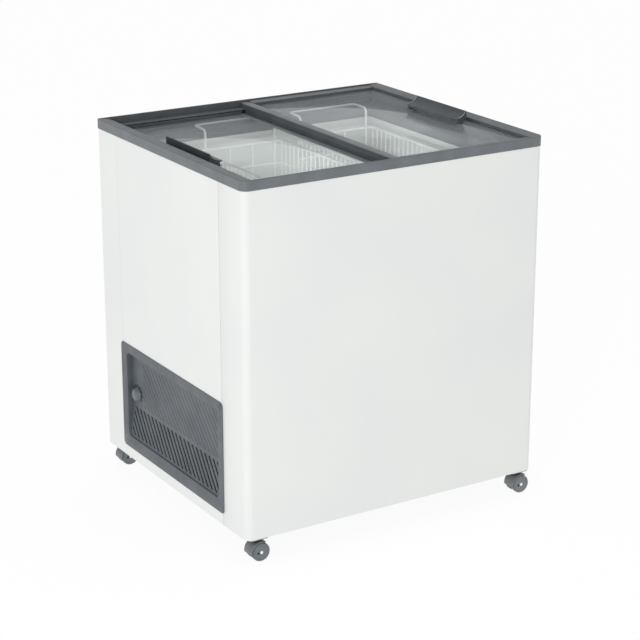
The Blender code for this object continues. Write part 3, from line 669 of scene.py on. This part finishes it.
BLADE_ROUNDING = 0.0005
pitch_across = SLOT_PITCH / math.sqrt(2.0)
first_slot = SLOTTED_Y[0] - (FINE_Z[1] - OPEN_Z[0])
slot_count = int((SLOTTED_Y[1] - first_slot) / SLOT_PITCH) + 1
for span_y, span_z, gap in (
    (SLOTTED_Y, OPEN_Z, OPEN_SLOT), ((SLOTTED_Y[0], KNOB_SEAT_Y), FINE_Z, FINE_SLOT)
):
    for number in range(slot_count):
        foot = first_slot + (number + 0.5) * SLOT_PITCH
        start = foot + span_z[0] - OPEN_Z[0]
        stop = foot + span_z[1] - OPEN_Z[0]
        if stop + SLOT_PITCH < span_y[0] or start - SLOT_PITCH > span_y[1]:
            continue
        piece = blade(pitch_across - gap, span_y, span_z, start)
        if piece.faces:
            floor_parts.append(piece)
        else:
            piece.free()
# The open field leans out towards its foot.
for part in floor_parts:
    for vert in part.verts:
        vert.co.x -= LEAN * max(0.0, OPEN_Z[1] - vert.co.z)
fit_piece(
    "grille_and_tray", gathered(panel, *floor_parts), [GRILLE_GREY], "cabinet",
    ["grille_panel"], 40.0,
)


# Thermostat. A switch box behind the tray, a steel spindle through it, a ribbed knob with a
# pointer, and a printed arc of ticks that grow towards the coldest setting.
KNOB_GREY = moulded_grey("knob_grey", (98, 104, 109), (110, 116, 121), 0.34, 0.44)
TICK_BLACK = plain_finish("tick_ink", shade(14, 15, 16), 0.7)
uneven_gloss(TICK_BLACK, (0.002, 2.0), 0.5, 0.7)
KNOB_SEAT = (TRAY_FLOOR_X, 0.174, 0.196)
KNOB_RADIUS = 0.0148
KNOB_HEIGHT = 0.0102
KNOB_LIFT = 0.0006
KNOB_RIBS = 24
RIB_HALF = 0.0006
RIB_TAPER = 0.0022
POINTER_HALF = 0.0011
POINTER_FALL = 0.0012
POINTER_TURN = math.radians(20)
TICK_COUNT = 9
TICK_ARC = math.radians(240.0)
TICK_GAP = 0.0014
TICK_LENGTH = 0.0052


def spun(bm, geom, angle, steps, whole):
    """Spin an outline about Z, right round or through part of a turn."""
    bmesh.ops.spin(
        bm, geom=geom, cent=(0.0, 0.0, 0.0), axis=(0.0, 0.0, 1.0), dvec=(0.0, 0.0, 0.0),
        angle=angle, steps=steps, use_merge=whole, use_duplicate=False,
    )


def lathed(profile, steps):
    """A closed solid turned about Z from (radius, height) points that start and end on the axis."""
    bm = bmesh.new()
    points = [bm.verts.new((radius, 0.0, height)) for radius, height in profile]
    edges = [bm.edges.new(pair) for pair in zip(points, points[1:])]
    spun(bm, points + edges, math.tau, steps, True)
    bmesh.ops.remove_doubles(bm, verts=bm.verts, dist=0.00001)
    bmesh.ops.recalc_face_normals(bm, faces=bm.faces)
    return bm


def stood(bm, at, axis):
    """Turn a lathed solid's Z onto an axis and move its foot to a point."""
    turn = Vector(axis).to_track_quat("Z", "Y").to_matrix().to_4x4()
    bmesh.ops.transform(bm, matrix=Matrix.Translation(at) @ turn, verts=bm.verts)
    return bm


def on_dial(bm, angle):
    """Turn a shape made at the top of the dial to its angle, and set it on the tray's floor."""
    bmesh.ops.rotate(bm, verts=bm.verts, cent=(0, 0, 0), matrix=Matrix.Rotation(angle, 3, "Z"))
    return stood(bm, KNOB_SEAT, (-1, 0, 0))


dome = [
    (0.0, KNOB_LIFT), (KNOB_RADIUS, KNOB_LIFT), (KNOB_RADIUS, 0.0022),
    (KNOB_RADIUS - 0.0006, 0.0030), (KNOB_RADIUS - 0.0016, 0.0066),
    (KNOB_RADIUS - 0.0034, 0.0088), (0.0080, 0.0099), (0.0, KNOB_HEIGHT),
]
knob_parts = [stood(lathed(dome, 48), KNOB_SEAT, (-1, 0, 0))]
for number in range(KNOB_RIBS):
    rib = block(
        (-RIB_HALF, KNOB_RADIUS - 0.0030, 0.0030), (RIB_HALF, KNOB_RADIUS - 0.0004, 0.0080)
    )
    for vert in rib.verts:
        if vert.co.z > 0.006:
            vert.co.y -= RIB_TAPER
    knob_parts.append(on_dial(rib, math.tau * number / KNOB_RIBS))
pointer = block((-POINTER_HALF, -0.0010, 0.0085), (POINTER_HALF, KNOB_RADIUS - 0.0026, 0.0103))
for vert in pointer.verts:
    if vert.co.z > 0.010 and vert.co.y > 0.005:
        vert.co.z -= POINTER_FALL
knob_parts.append(on_dial(soften(pointer, 0.0004), POINTER_TURN))
fit_piece(
    "thermostat_dial_knob", gathered(*knob_parts), [KNOB_GREY], "thermostat_knob",
    ["thermostat_knob"],
)
ticks = []
tick_foot = KNOB_RADIUS + TICK_GAP
for number in range(TICK_COUNT):
    wide = 0.0009 + 0.00042 * number
    tick = block((-wide, tick_foot, -0.0002), (wide, tick_foot + TICK_LENGTH, 0.00012))
    ticks.append(on_dial(tick, TICK_ARC * (number / (TICK_COUNT - 1) - 0.5)))
fit_piece("thermostat_scale_ticks", gathered(*ticks), [TICK_BLACK], "cabinet")
BRIGHT_STEEL = plain_finish("bright_steel", (0.60, 0.60, 0.61), 0.3, 1.0)
uneven_gloss(BRIGHT_STEEL, (0.002, 2.0, (6.0, 6.0, 0.5)), 0.22, 0.40)
dress("thermostat_spindle", BRIGHT_STEEL)
SWITCH_BLACK = moulded_grey("switch_black", (34, 36, 38), (42, 44, 47), 0.45, 0.60)
dress("thermostat", SWITCH_BLACK)


# Cooling machine, glimpsed through the slots: a painted steel compressor with its relay box, a
# wire-finish condenser, a copper drier and copper pipes. The mains lead leaves by a rubber bush.
BLACK_ENAMEL = plain_finish("black_enamel", shade(26, 27, 28), 0.35, coat=0.3)
textured(BLACK_ENAMEL, (0.002, 2.0), 0.00004, 0.6)
uneven_gloss(BLACK_ENAMEL, (0.01, 3.0), 0.28, 0.45)
COPPER = plain_finish("tarnished_copper", (0.62, 0.30, 0.18), 0.35, 1.0)
tinted(COPPER, (0.012, 4.0), (0.50, 0.22, 0.12), (0.70, 0.37, 0.24))
uneven_gloss(COPPER, (0.006, 3.0), 0.26, 0.5)
RUBBER = plain_finish("black_rubber", shade(32, 32, 33), 0.75)
textured(RUBBER, (0.0008, 2.0), 0.00004, 0.7)
tinted(RUBBER, (0.01, 3.0), shade(28, 28, 29), shade(40, 40, 41))
for node, finish, slot in (
    ("compressor", BLACK_ENAMEL, "black_steel"), ("condenser_coil", BLACK_ENAMEL, "black_steel"),
    ("relay_cover", SWITCH_BLACK, "dark_plastic"), ("filter_drier", COPPER, "copper"),
    ("discharge_pipe", COPPER, "copper"), ("suction_pipe", COPPER, "copper"),
    ("cable_gland", RUBBER, "black_rubber"),
):
    dress(node, finish)


# Lids. Each is one pane of 4 mm tempered glass with ground edges, gripped along both long edges
# by an extruded PVC runner and across its inner end by a rail.
def clear_glass():
    """Clear float glass: what is behind shows through, under a reflection that grows at a slant."""
    finish = bpy.data.materials.new("clear_lid_glass")
    finish.use_nodes = True
    nodes, links = finish.node_tree.nodes, finish.node_tree.links
    nodes.clear()
    output = nodes.new("ShaderNodeOutputMaterial")
    through = nodes.new("ShaderNodeBsdfTransparent")
    set_inputs(through, {"Color": (0.975, 0.985, 0.985, 1.0)})
    shine = nodes.new("ShaderNodeBsdfPrincipled")
    set_inputs(shine, {"Base Color": (0.86, 0.90, 0.92, 1.0), "Metallic": 0.28})
    slant = nodes.new("ShaderNodeLayerWeight")
    set_inputs(slant, {"Blend": 0.5})
    steep = nodes.new("ShaderNodeMath")
    steep.operation = "POWER"
    steep.inputs[1].default_value = 4.0
    share = nodes.new("ShaderNodeMapRange")
    set_inputs(share, {"To Min": 0.02, "To Max": 0.62})
    mix = nodes.new("ShaderNodeMixShader")
    place = nodes.new("ShaderNodeTexCoord")
    smear = nodes.new("ShaderNodeTexNoise")
    set_inputs(smear, {"Scale": 9.0, "Detail": 4.0})
    fit = nodes.new("ShaderNodeMapRange")
    set_inputs(fit, {"To Min": 0.01, "To Max": 0.05})
    links.new(place.outputs["Object"], smear.inputs["Vector"])
    links.new(smear.outputs["Fac"], fit.inputs["Value"])
    links.new(fit.outputs["Result"], shine.inputs["Roughness"])
    links.new(slant.outputs["Facing"], steep.inputs[0])
    links.new(steep.outputs["Value"], share.inputs["Value"])
    links.new(share.outputs["Result"], mix.inputs["Fac"])
    links.new(through.outputs["BSDF"], mix.inputs[1])
    links.new(shine.outputs["BSDF"], mix.inputs[2])
    links.new(mix.outputs["Shader"], output.inputs["Surface"])
    return finish


LID_GLASS = clear_glass()
GLASS_EDGE = plain_finish("ground_glass_edge", shade(88, 98, 100), 0.35)
uneven_gloss(GLASS_EDGE, (0.004, 2.0), 0.25, 0.5)
RUNNER_GREY = moulded_grey("runner_grey", (112, 118, 122), (120, 126, 130), 0.36, 0.46)
LIDS = (("left_lid", -1), ("right_lid", 1))
GLASS_GAP = 0.0003
RUNNER_WALL = 0.0012
RUNNER_FOOT = 0.008
RUNNER_BROW = ((0.0060, 0.0009), (0.0055, 0.0012), (0.0050, 0.0010), (0.0006, 0.0015), (0.0, 0.0021))
for lid, side in LIDS:
    glass_low, glass_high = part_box(f"{lid}_glass")
    pane = soften(block(glass_low, glass_high), 0.0007)
    painted(pane, 1, lambda face: abs(face.normal.z) < 0.9)
    fit_piece(
        f"{lid}_pane", pane, [LID_GLASS, GLASS_EDGE], lid, [f"{lid}_glass"]
    )
    over, under = glass_high.z + GLASS_GAP, glass_low.z - GLASS_GAP
    for place, way in (("front", -1), ("rear", 1)):
        low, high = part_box(f"{lid}_{place}_runner")
        inner, outer = sorted((abs(low.y), abs(high.y)))
        outline = [(outer, low.z), (outer, high.z - 0.0004), (outer - 0.0004, high.z)]
        outline += [(inner + along, high.z - drop) for along, drop in RUNNER_BROW]
        outline += [
            (inner, over), (outer - RUNNER_WALL, over), (outer - RUNNER_WALL, under),
            (inner + RUNNER_FOOT, under), (inner + RUNNER_FOOT, low.z),
        ]
        strip = extruded([(way * y, z) for y, z in outline], 0, low.x, high.x)
        # The runner's faces that look in across the lid take the darker grey, as painted shade.
        painted(strip, 1, lambda face: way * face.normal.y < -0.9)
        fit_piece(
            f"{lid}_{place}_edge_extrusion", strip, [RUNNER_GREY, WELL_PAINTED_SHADE_GREY], lid,
            [f"{lid}_{place}_runner"],
        )


# End rails. The upper lid's rail is the bar across the middle: a grooved PVC length that also
# holds a wiper over the lower glass. The lower lid's rail is a plain low strip.
BAR_TOP = moulded_grey("bar_grey", (112, 118, 122), (122, 128, 132), 0.34, 0.44)
# The bar's sides: the same grey made darker, as painted shade.
BAR_SIDE_PAINTED_SHADE = moulded_grey("bar_side_painted_shade_grey", (74, 79, 84), (84, 89, 94), 0.40, 0.52)
CROWN = 0.0006
CROWN_EDGE = 0.0012
CROWN_REACH = 0.0070
GROOVES = (0.0031, 0.0067)
GROOVE_HALF = 0.0005
GROOVE_DEPTH = 0.0006
low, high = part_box("right_lid_end_rail")
bar_profile = [
    (low.x, high.z - 0.0016), (low.x + CROWN_EDGE, high.z - CROWN), (low.x + CROWN_REACH, high.z),
    (high.x - CROWN_REACH, high.z), (high.x - CROWN_EDGE, high.z - CROWN),
    (high.x, high.z - 0.0014), (high.x, low.z), (low.x, low.z),
]
for groove in GROOVES:
    bar_profile += [
        (low.x, low.z + groove - GROOVE_HALF), (low.x + GROOVE_DEPTH, low.z + groove),
        (low.x, low.z + groove + GROOVE_HALF),
    ]
bar = extruded(bar_profile, 1, low.y, high.y)
# The bar's sides and grooves take the darker grey, as painted shade; its top stays light.
painted(bar, 1, lambda face: abs(face.normal.x) > 0.5)
fit_piece(
    "centre_bar", bar, [BAR_TOP, BAR_SIDE_PAINTED_SHADE], "right_lid", ["right_lid_end_rail"]
)
low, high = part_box("right_lid_wiper_seal")
wiper_profile = [
    (low.x, low.z + 0.0008), (low.x, high.z), (high.x, high.z), (high.x, low.z + 0.0008),
    (high.x - 0.0010, low.z), (high.x - 0.0060, low.z + 0.0030), (low.x + 0.0060, low.z + 0.0030),
    (low.x + 0.0010, low.z),
]
WIPER = moulded_grey("wiper_grey", (64, 69, 73), (74, 79, 84), 0.48, 0.62)
fit_piece(
    "centre_bar_wiper", extruded(wiper_profile, 1, low.y, high.y), [WIPER], "right_lid",
    ["right_lid_wiper_seal"],
)
low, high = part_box("left_lid_end_rail")
fit_piece(
    "lower_end_strip", soften(block(low, high), 0.0006), [RUNNER_GREY], "left_lid",
    ["left_lid_end_rail"],
)


# Grips. Both lids have the same dark moulding near their outer end, turned half round: a shell
# that sweeps up from the glass to a raised edge, on a narrow foot, with a flat tail at one end.
GRIP_DARK = moulded_grey("grip_dark", (66, 71, 76), (76, 81, 86), 0.30, 0.42)
# A light grey for the thin ribs at the grip's ends: a painted highlight along the edge.
GRIP_PAINTED_HIGHLIGHT = moulded_grey("grip_edge_painted_highlight", (150, 155, 159), (168, 172, 175), 0.22, 0.30)
SHELL = 0.0026
INNER_EDGE = 0.0110
SHOULDER = (0.0150, 0.0115)
EDGE_ROUND = 0.0006
FOOT = (0.0045, 0.0205)
GRIP_CORNER = 0.016
RIB_END = 0.62
TAIL = (0.0012, 0.0075)
TAIL_REACH = 0.024
TAIL_HEIGHT = 0.0022
ARC_STEPS = 10
RIB_HEIGHT = 0.0016
RIB_WIDTH = 0.0014
RIB_SUNK = 0.0003


def as_evaluated(holder):
    """The mesh that an object's modifiers or bevel make."""
    bpy.context.view_layer.update()
    graph = bpy.context.evaluated_depsgraph_get()
    result = bpy.data.meshes.new_from_object(holder.evaluated_get(graph))
    made = bmesh.new()
    made.from_mesh(result)
    bpy.data.meshes.remove(result)
    return made


def common(bm, other):
    """What two closed meshes share, cut exactly."""
    holders = []
    for source in (bm, other):
        mesh = bpy.data.meshes.new("held")
        source.to_mesh(mesh)
        source.free()
        holders.append(placed("held", mesh))
    change = holders[0].modifiers.new("Change", "BOOLEAN")
    change.operation = "INTERSECT"
    change.solver = "EXACT"
    change.object = holders[1]
    made = as_evaluated(holders[0])
    for holder in holders:
        mesh = holder.data
        bpy.data.objects.remove(holder)
        bpy.data.meshes.remove(mesh)
    return made


def grip_section(wide, top):
    """Section of a grip across the lid, as (distance from its inner edge, height over the glass)."""
    sweep = wide - SHELL
    section = [
        (sweep * sine, INNER_EDGE + (top - INNER_EDGE) * (1 - cosine))
        for sine, cosine in quarter(ARC_STEPS)
    ]
    section += [(wide - EDGE_ROUND, top), (wide, top - 0.0008), (wide, SHOULDER[0])]
    for sine, cosine in quarter(6, 1):
        section.append((wide - (wide - FOOT[1]) * (1 - cosine), SHOULDER[0] - SHOULDER[1] * sine))
    return section + [
        (FOOT[1], 0.0), (FOOT[0], 0.0), (FOOT[0], INNER_EDGE - SHELL),
        (EDGE_ROUND, INNER_EDGE - SHELL), (0.0, INNER_EDGE - SHELL + 0.0008),
    ]


for lid, side in LIDS:
    low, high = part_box(f"{lid}_handle")
    base, top = low.z, high.z - low.z
    inner = min(abs(low.x), abs(high.x))
    section = grip_section(abs(high.x - low.x), top)
    grip = extruded([(side * (inner + x), base + z) for x, z in section], 1, low.y, high.y)
    round_end, tail_end = (low.y, high.y) if side > 0 else (high.y, low.y)
    plan = block((low.x, low.y, base - 0.001), (high.x, high.y, base + top + 0.001))
    round_upright(plan, side * inner, round_end, GRIP_CORNER, 8)
    rib_outline = section[:ARC_STEPS + 1]
    for x, z in section[ARC_STEPS::-1]:
        rib_outline.append((x, min(z + RIB_HEIGHT, top)))
    rib_outline = [(side * (inner + x), base + z - RIB_SUNK) for x, z in rib_outline]
    # Each end of the grip gets a thin rib in the light grey, as a painted highlight.
    ribs = []
    for end_y, inward in ((low.y, 1), (high.y, -1)):
        span = sorted((end_y + inward * NEAR, end_y + inward * RIB_WIDTH))
        rib = extruded(rib_outline, 1, *span)
        bmesh.ops.remove_doubles(rib, verts=rib.verts, dist=0.1 * NEAR)
        if end_y == round_end:
            clipped(rib, (side * (inner + GRIP_CORNER * RIB_END), 0, 0), (-side, 0, 0))
        ribs.append(painted(rib, 1))
    tail_x = sorted((side * (inner + TAIL[0]), side * (inner + TAIL[1])))
    tail_y = sorted((tail_end - side * TAIL_REACH, tail_end))
    tail = block((tail_x[0], tail_y[0], base), (tail_x[1], tail_y[1], base + TAIL_HEIGHT))
    fit_piece(
        f"{lid}_grip", gathered(common(grip, plan), soften(tail, 0.0006), *ribs),
        [GRIP_DARK, GRIP_PAINTED_HIGHLIGHT], lid, [f"{lid}_handle"], 30.0,
    )


# Baskets. Each is welded from white-coated wire: a stout rim, close U-wires round the ends and
# floor, fewer across it, level wires round the walls, and two bent hangers over the collar.
WIRE_WHITE = plain_finish("white_wire_coating", shade(240, 242, 240), 0.36)
tinted(WIRE_WHITE, (0.02, 3.0), shade(242, 244, 243), shade(250, 251, 250))
textured(WIRE_WHITE, (0.0015, 2.0), 0.00004, 0.6)
RIM_WIRE = 0.0056
LEVEL_WIRE = 0.0032
WALL_WIRE = 0.0026
HANGER_WIRE = 0.0050
BASKET_RIM_Z = 0.686
BASKET_DEPTH = 0.200
BASKET_HALF_Y = 0.215
BASKET_CORNER = 0.012
END_MARGIN = 0.012
SIDE_MARGIN = 0.020
HANGER_CORNER = 0.009
HANGER_WELD = 0.018
END_PITCH = 0.0165
SIDE_PITCH = 0.044
LEVELS = (0.048, 0.098, 0.148)
HANGER_INSET = 0.0175
HANGER_Z = 0.7253
HANGER_Y = 0.2598


def bent_wires(routes, thickness, closed, resolution=2):
    """Round wires along routes, as one mesh."""
    line = bpy.data.curves.new("wires", "CURVE")
    line.dimensions = "3D"
    line.bevel_depth = thickness / 2
    line.bevel_resolution = resolution
    line.use_fill_caps = not closed
    for route in routes:
        spline = line.splines.new("POLY")
        spline.points.add(len(route) - 1)
        for point, place in zip(spline.points, route):
            point.co = (*place, 1.0)
        spline.use_cyclic_u = closed
    holder = placed("wires", line)
    bm = as_evaluated(holder)
    bpy.data.objects.remove(holder)
    bpy.data.curves.remove(line)
    bmesh.ops.remove_doubles(bm, verts=bm.verts, dist=0.00002)
    return bm


def level_loop(low_x, high_x, half_y, z, radius):
    """A closed rectangle of wire at one height, with rounded corners."""
    middle = (low_x + high_x) / 2
    corners = [
        (middle, -half_y, z), (high_x, -half_y, z), (high_x, half_y, z), (low_x, half_y, z),
        (low_x, -half_y, z), (middle, -half_y, z),
    ]
    return rounded(corners, radius, 5)[:-1]


def spread(low, high, pitch):
    """Even places from one end of a span to the other, at least a pitch apart."""
    count = int((high - low) / pitch)
    return [low + number * (high - low) / count for number in range(count + 1)]


for basket in ("left_basket", "right_basket"):
    low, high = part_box(basket)
    left, right = low.x, high.x
    edge = RIM_WIRE / 2
    rim_z = BASKET_RIM_Z - edge
    rims = [level_loop(left + edge, right - edge, BASKET_HALF_Y - edge, rim_z, BASKET_CORNER)]
    inset = RIM_WIRE - WALL_WIRE / 2
    levels = [
        level_loop(left + inset, right - inset, BASKET_HALF_Y - inset, rim_z - drop, BASKET_CORNER)
        for drop in LEVELS
    ]
    lean = RIM_WIRE + 0.0004
    bottom = BASKET_RIM_Z - BASKET_DEPTH + WALL_WIRE / 2
    around_ends, across = [], []
    wall_x = (left + lean, right - lean)
    for y in spread(-BASKET_HALF_Y + END_MARGIN, BASKET_HALF_Y - END_MARGIN, END_PITCH):
        corners = [
            (wall_x[0], y, rim_z), (wall_x[0], y, bottom), (wall_x[1], y, bottom),
            (wall_x[1], y, rim_z),
        ]
        around_ends.append(rounded(corners, BASKET_CORNER, 4))
    wall_y, over_floor = BASKET_HALF_Y - lean, bottom + WALL_WIRE
    for x in spread(left + SIDE_MARGIN, right - SIDE_MARGIN, SIDE_PITCH):
        corners = [
            (x, -wall_y, rim_z), (x, -wall_y, over_floor), (x, wall_y, over_floor),
            (x, wall_y, rim_z),
        ]
        across.append(rounded(corners, BASKET_CORNER, 4))
    hangers = []
    first, last = left + HANGER_INSET, right - HANGER_INSET
    foot_z = BASKET_RIM_Z - HANGER_WELD
    for way in (-1, 1):
        leg_y, reach_y = way * (BASKET_HALF_Y - 0.0021), way * HANGER_Y
        corners = [
            (first, leg_y, foot_z), (first, leg_y, HANGER_Z), (first, reach_y, HANGER_Z),
            (last, reach_y, HANGER_Z), (last, leg_y, HANGER_Z), (last, leg_y, foot_z),
        ]
        hangers.append(rounded(corners, HANGER_CORNER, 5))
    wires = gathered(
        bent_wires(rims, RIM_WIRE, True, 3), bent_wires(levels, LEVEL_WIRE, True),
        bent_wires(around_ends, WALL_WIRE, False), bent_wires(across, LEVEL_WIRE, False),
        bent_wires(hangers, HANGER_WIRE, False, 3),
    )
    fit_piece(f"{basket}_wirework", wires, [WIRE_WHITE], basket, [basket], 60.0)


# Casters. Under each corner: a zinc plate, a swivelling hood of grey nylon with a black
# bearing ring, and two grey wheels on one axle, each with a white hub cap and a dot of painted shade.
CASTER_GREY = moulded_grey("caster_grey", (104, 109, 112), (116, 121, 124), 0.32, 0.44)
TREAD_GREY = moulded_grey("tread_grey", (92, 97, 100), (104, 109, 112), 0.44, 0.58)
CAP_WHITE = plain_finish("hub_cap_white", shade(240, 241, 240), 0.3)
uneven_gloss(CAP_WHITE, (0.002, 2.0), 0.24, 0.38)
# Black for the bearing ring, and for the dot of painted shade on each wheel.
BEARING_AND_SHADE_BLACK = plain_finish("bearing_black_and_painted_shade", shade(22, 23, 24), 0.45)
uneven_gloss(BEARING_AND_SHADE_BLACK, (0.002, 2.0), 0.35, 0.55)
WHEEL_RADIUS = 0.019
TREAD_ROUND = 0.0026
TREAD_DEPTH = 0.0020
HOOD_RADIUS = 0.0226
COVER_REACH = (math.radians(-98.0), math.radians(25.0))
COVER_THICKNESS = 0.0022
COVER_SHOULDER = 0.0020
COVER_CLEARANCE = 0.0006
WEB_SPAN = (0.0100, 0.0212)
BOSS_RADIUS = 0.0116
CHAMFER = 0.0004
CAP_RADIUS = 0.0033
# A thin black disc beside each hub cap: painted shade.
SHADE_DOT_RADIUS = 0.0025
SHADE_DOT_THICKNESS = 0.0005
SHADE_DOT_OFFSET = Vector((-0.0070, 0.0, -0.0010))


def wheel_profile(near, far):
    """Half section of a wheel, from the axis on its inner face over the tread to its outer face."""
    flat = WHEEL_RADIUS - TREAD_ROUND
    points = [(0.0, near), (flat, near)]
    for sine, cosine in quarter(4, 1):
        points.append((flat + TREAD_ROUND * sine, near + TREAD_ROUND * (1 - cosine)))
    for sine, cosine in quarter(4):
        points.append((flat + TREAD_ROUND * cosine, far - TREAD_ROUND + TREAD_ROUND * sine))
    return points + [
        (0.0150, far), (0.0146, far - 0.0005), (0.0138, far - 0.0005), (0.0134, far - 0.0001),
        (0.0060, far + 0.0003), (0.0, far + 0.0003),
    ]


def cover_section(half):
    """Section of the hood's curved cover: a band with rounded shoulders, as (radius, across)."""
    inner, flat = HOOD_RADIUS - COVER_THICKNESS, HOOD_RADIUS - COVER_SHOULDER
    turn = quarter(5)
    points = [(inner, -half), (flat, -half)]
    for way, arc in ((-1, turn[1:]), (1, turn[-2::-1])):
        for sine, cosine in arc:
            radius = HOOD_RADIUS - COVER_SHOULDER * (1 - sine)
            points.append((radius, way * (half - COVER_SHOULDER * (1 - cosine))))
    return points + [(flat, half), (inner, half)]


def swept(section, reach):
    """A closed section swept about Z between two angles from +Y, with its ends closed."""
    bm = bmesh.new()
    points = [bm.verts.new((0.0, radius, across)) for radius, across in section]
    edges = [bm.edges.new(pair) for pair in zip(points, points[1:] + points[:1])]
    bmesh.ops.rotate(
        bm, verts=points, cent=(0.0, 0.0, 0.0), matrix=Matrix.Rotation(reach[0], 3, "Z")
    )
    spun(bm, points + edges, reach[1] - reach[0], 36, False)
    bmesh.ops.edgeloop_fill(bm, edges=[edge for edge in bm.edges if edge.is_boundary])
    bmesh.ops.recalc_face_normals(bm, faces=bm.faces)
    return bm


for caster in ("front_left_caster", "front_right_caster", "rear_left_caster", "rear_right_caster"):
    dress(f"{caster}_plate", ZINC)
    dress(f"{caster}_axle", BRIGHT_STEEL)
    wheel_low, wheel_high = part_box(f"{caster}_front_wheel")
    rear_low, rear_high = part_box(f"{caster}_rear_wheel")
    hub = Vector(((wheel_low.x + wheel_high.x) / 2, (wheel_low.y + rear_high.y) / 2, WHEEL_RADIUS))
    near, far = rear_low.y - hub.y, rear_high.y - hub.y - CHAMFER
    cover = swept(cover_section(far + COVER_CLEARANCE), COVER_REACH)
    half = near - COVER_CLEARANCE
    upper_web = swept(
        [(WEB_SPAN[0], -half), (WEB_SPAN[1], -half), (WEB_SPAN[1], half), (WEB_SPAN[0], half)],
        COVER_REACH,
    )
    boss = lathed(
        [
            (0.0, -half), (BOSS_RADIUS - CHAMFER, -half), (BOSS_RADIUS, CHAMFER - half),
            (BOSS_RADIUS, half - CHAMFER), (BOSS_RADIUS - CHAMFER, half), (0.0, half),
        ], 48,
    )
    hood = stood(gathered(cover, upper_web, boss), hub, (0, 1, 0))
    ring = lathed(
        [
            (0.0, 0.0395), (0.0108, 0.0395), (0.0116, 0.0440), (0.0110, 0.0452),
            (0.0110, 0.0472), (0.0, 0.0472),
        ], 40,
    )
    plate_low, plate_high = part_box(f"{caster}_plate")
    swivel = (plate_low + plate_high) / 2
    bmesh.ops.translate(ring, vec=(swivel.x, swivel.y, 0.0), verts=ring.verts)
    fit_piece(
        f"{caster}_swivel_hood", gathered(hood, painted(ring, 1)), [CASTER_GREY, BEARING_AND_SHADE_BLACK],
        f"{caster}_swivel", [f"{caster}_hood"],
    )
    for place, way in (("front", -1), ("rear", 1)):
        disc = stood(lathed(wheel_profile(near, far), 56), hub, (0, way, 0))
        tread = WHEEL_RADIUS - TREAD_DEPTH
        painted(disc, 1, lambda face: (face.calc_center_median() - hub).xz.length > tread)
        cap = lathed(
            [
                (0.0, far), (CAP_RADIUS, far), (CAP_RADIUS, far + 0.0007),
                (CAP_RADIUS * 0.8, far + 0.0014), (CAP_RADIUS * 0.45, far + 0.0018),
                (0.0, far + 0.0019),
            ], 28,
        )
        stood(cap, hub, (0, way, 0))
        # A thin black disc beside the cap is painted shade, standing on the wheel's face.
        deep = far + SHADE_DOT_THICKNESS
        shade_dot = lathed([(0.0, far), (SHADE_DOT_RADIUS, far), (SHADE_DOT_RADIUS, deep), (0.0, deep)], 20)
        stood(shade_dot, hub + SHADE_DOT_OFFSET, (0, way, 0))
        fit_piece(
            f"{caster}_{place}_wheel_disc", gathered(disc, painted(cap, 2), painted(shade_dot, 3)),
            [CASTER_GREY, TREAD_GREY, CAP_WHITE, BEARING_AND_SHADE_BLACK], f"{caster}_wheels",
            [f"{caster}_{place}_wheel"],
        )


# Studio. A glowing white floor and an even surround, a broad soft light over the left shoulder,
# a small lamp in each basket to open up the tub, and the camera.
def lamp(name, kind, at, power):
    """A lamp of one kind at a place: its light and the object that holds it."""
    light = bpy.data.lights.new(name, kind)
    light.energy = power
    holder = placed(name, light)
    holder.location = at
    return light, holder


SOFTBOX_AIM = (0.0, 0.0, 0.45)
softbox, stand = lamp("left_softbox", "AREA", (-3.1, -2.5, 1.3), 44.0)
softbox.shape = "RECTANGLE"
softbox.size, softbox.size_y = 1.6, 1.8
aim = Vector(SOFTBOX_AIM) - stand.location
stand.rotation_mode = "QUATERNION"
stand.rotation_quaternion = aim.to_track_quat("-Z", "Y")
for name, x in (("left_fill", -0.060), ("right_fill", 0.170)):
    bulb, holder = lamp(name, "POINT", (x, 0.0, 0.600), 0.55)
    bulb.shadow_soft_size = 0.05
    holder.visible_camera = False
    holder.visible_glossy = False
world = bpy.data.worlds.new("white_surround")
world.use_nodes = True
set_inputs(world.node_tree.nodes["Background"], {"Color": (1.0, 1.0, 1.0, 1.0), "Strength": 0.66})
bpy.context.scene.world = world
bpy.context.scene.view_settings.view_transform = "Standard"

FLOOR_REACH = 30.0
floor_mesh = bmesh.new()
bmesh.ops.create_grid(floor_mesh, x_segments=1, y_segments=1, size=FLOOR_REACH)
bmesh.ops.translate(floor_mesh, vec=(0.0, 0.0, -0.0002), verts=floor_mesh.verts)
PALE_FLOOR = plain_finish("pale_floor", (0.10, 0.10, 0.10), 0.9)
set_inputs(PALE_FLOOR.node_tree.nodes["Principled BSDF"], {
    "Specular IOR Level": 0.0, "Emission Color": (1.0, 1.0, 1.0, 1.0), "Emission Strength": 0.92,
})
sheet = bpy.data.meshes.new("studio_floor")
floor_mesh.to_mesh(sheet)
floor_mesh.free()
sheet.materials.append(PALE_FLOOR)
studio_floor = placed("studio_floor", sheet)

lens = bpy.data.cameras.new("camera")
lens.lens = 110.06
lens.sensor_width = 36.0
camera = placed("camera", lens)
camera.location = (-2.00250, -3.25517, 1.64291)
camera.rotation_euler = (math.radians(71.3135), 0.0, math.radians(-31.7065))
bpy.context.scene.camera = camera

bpy.context.view_layer.update()
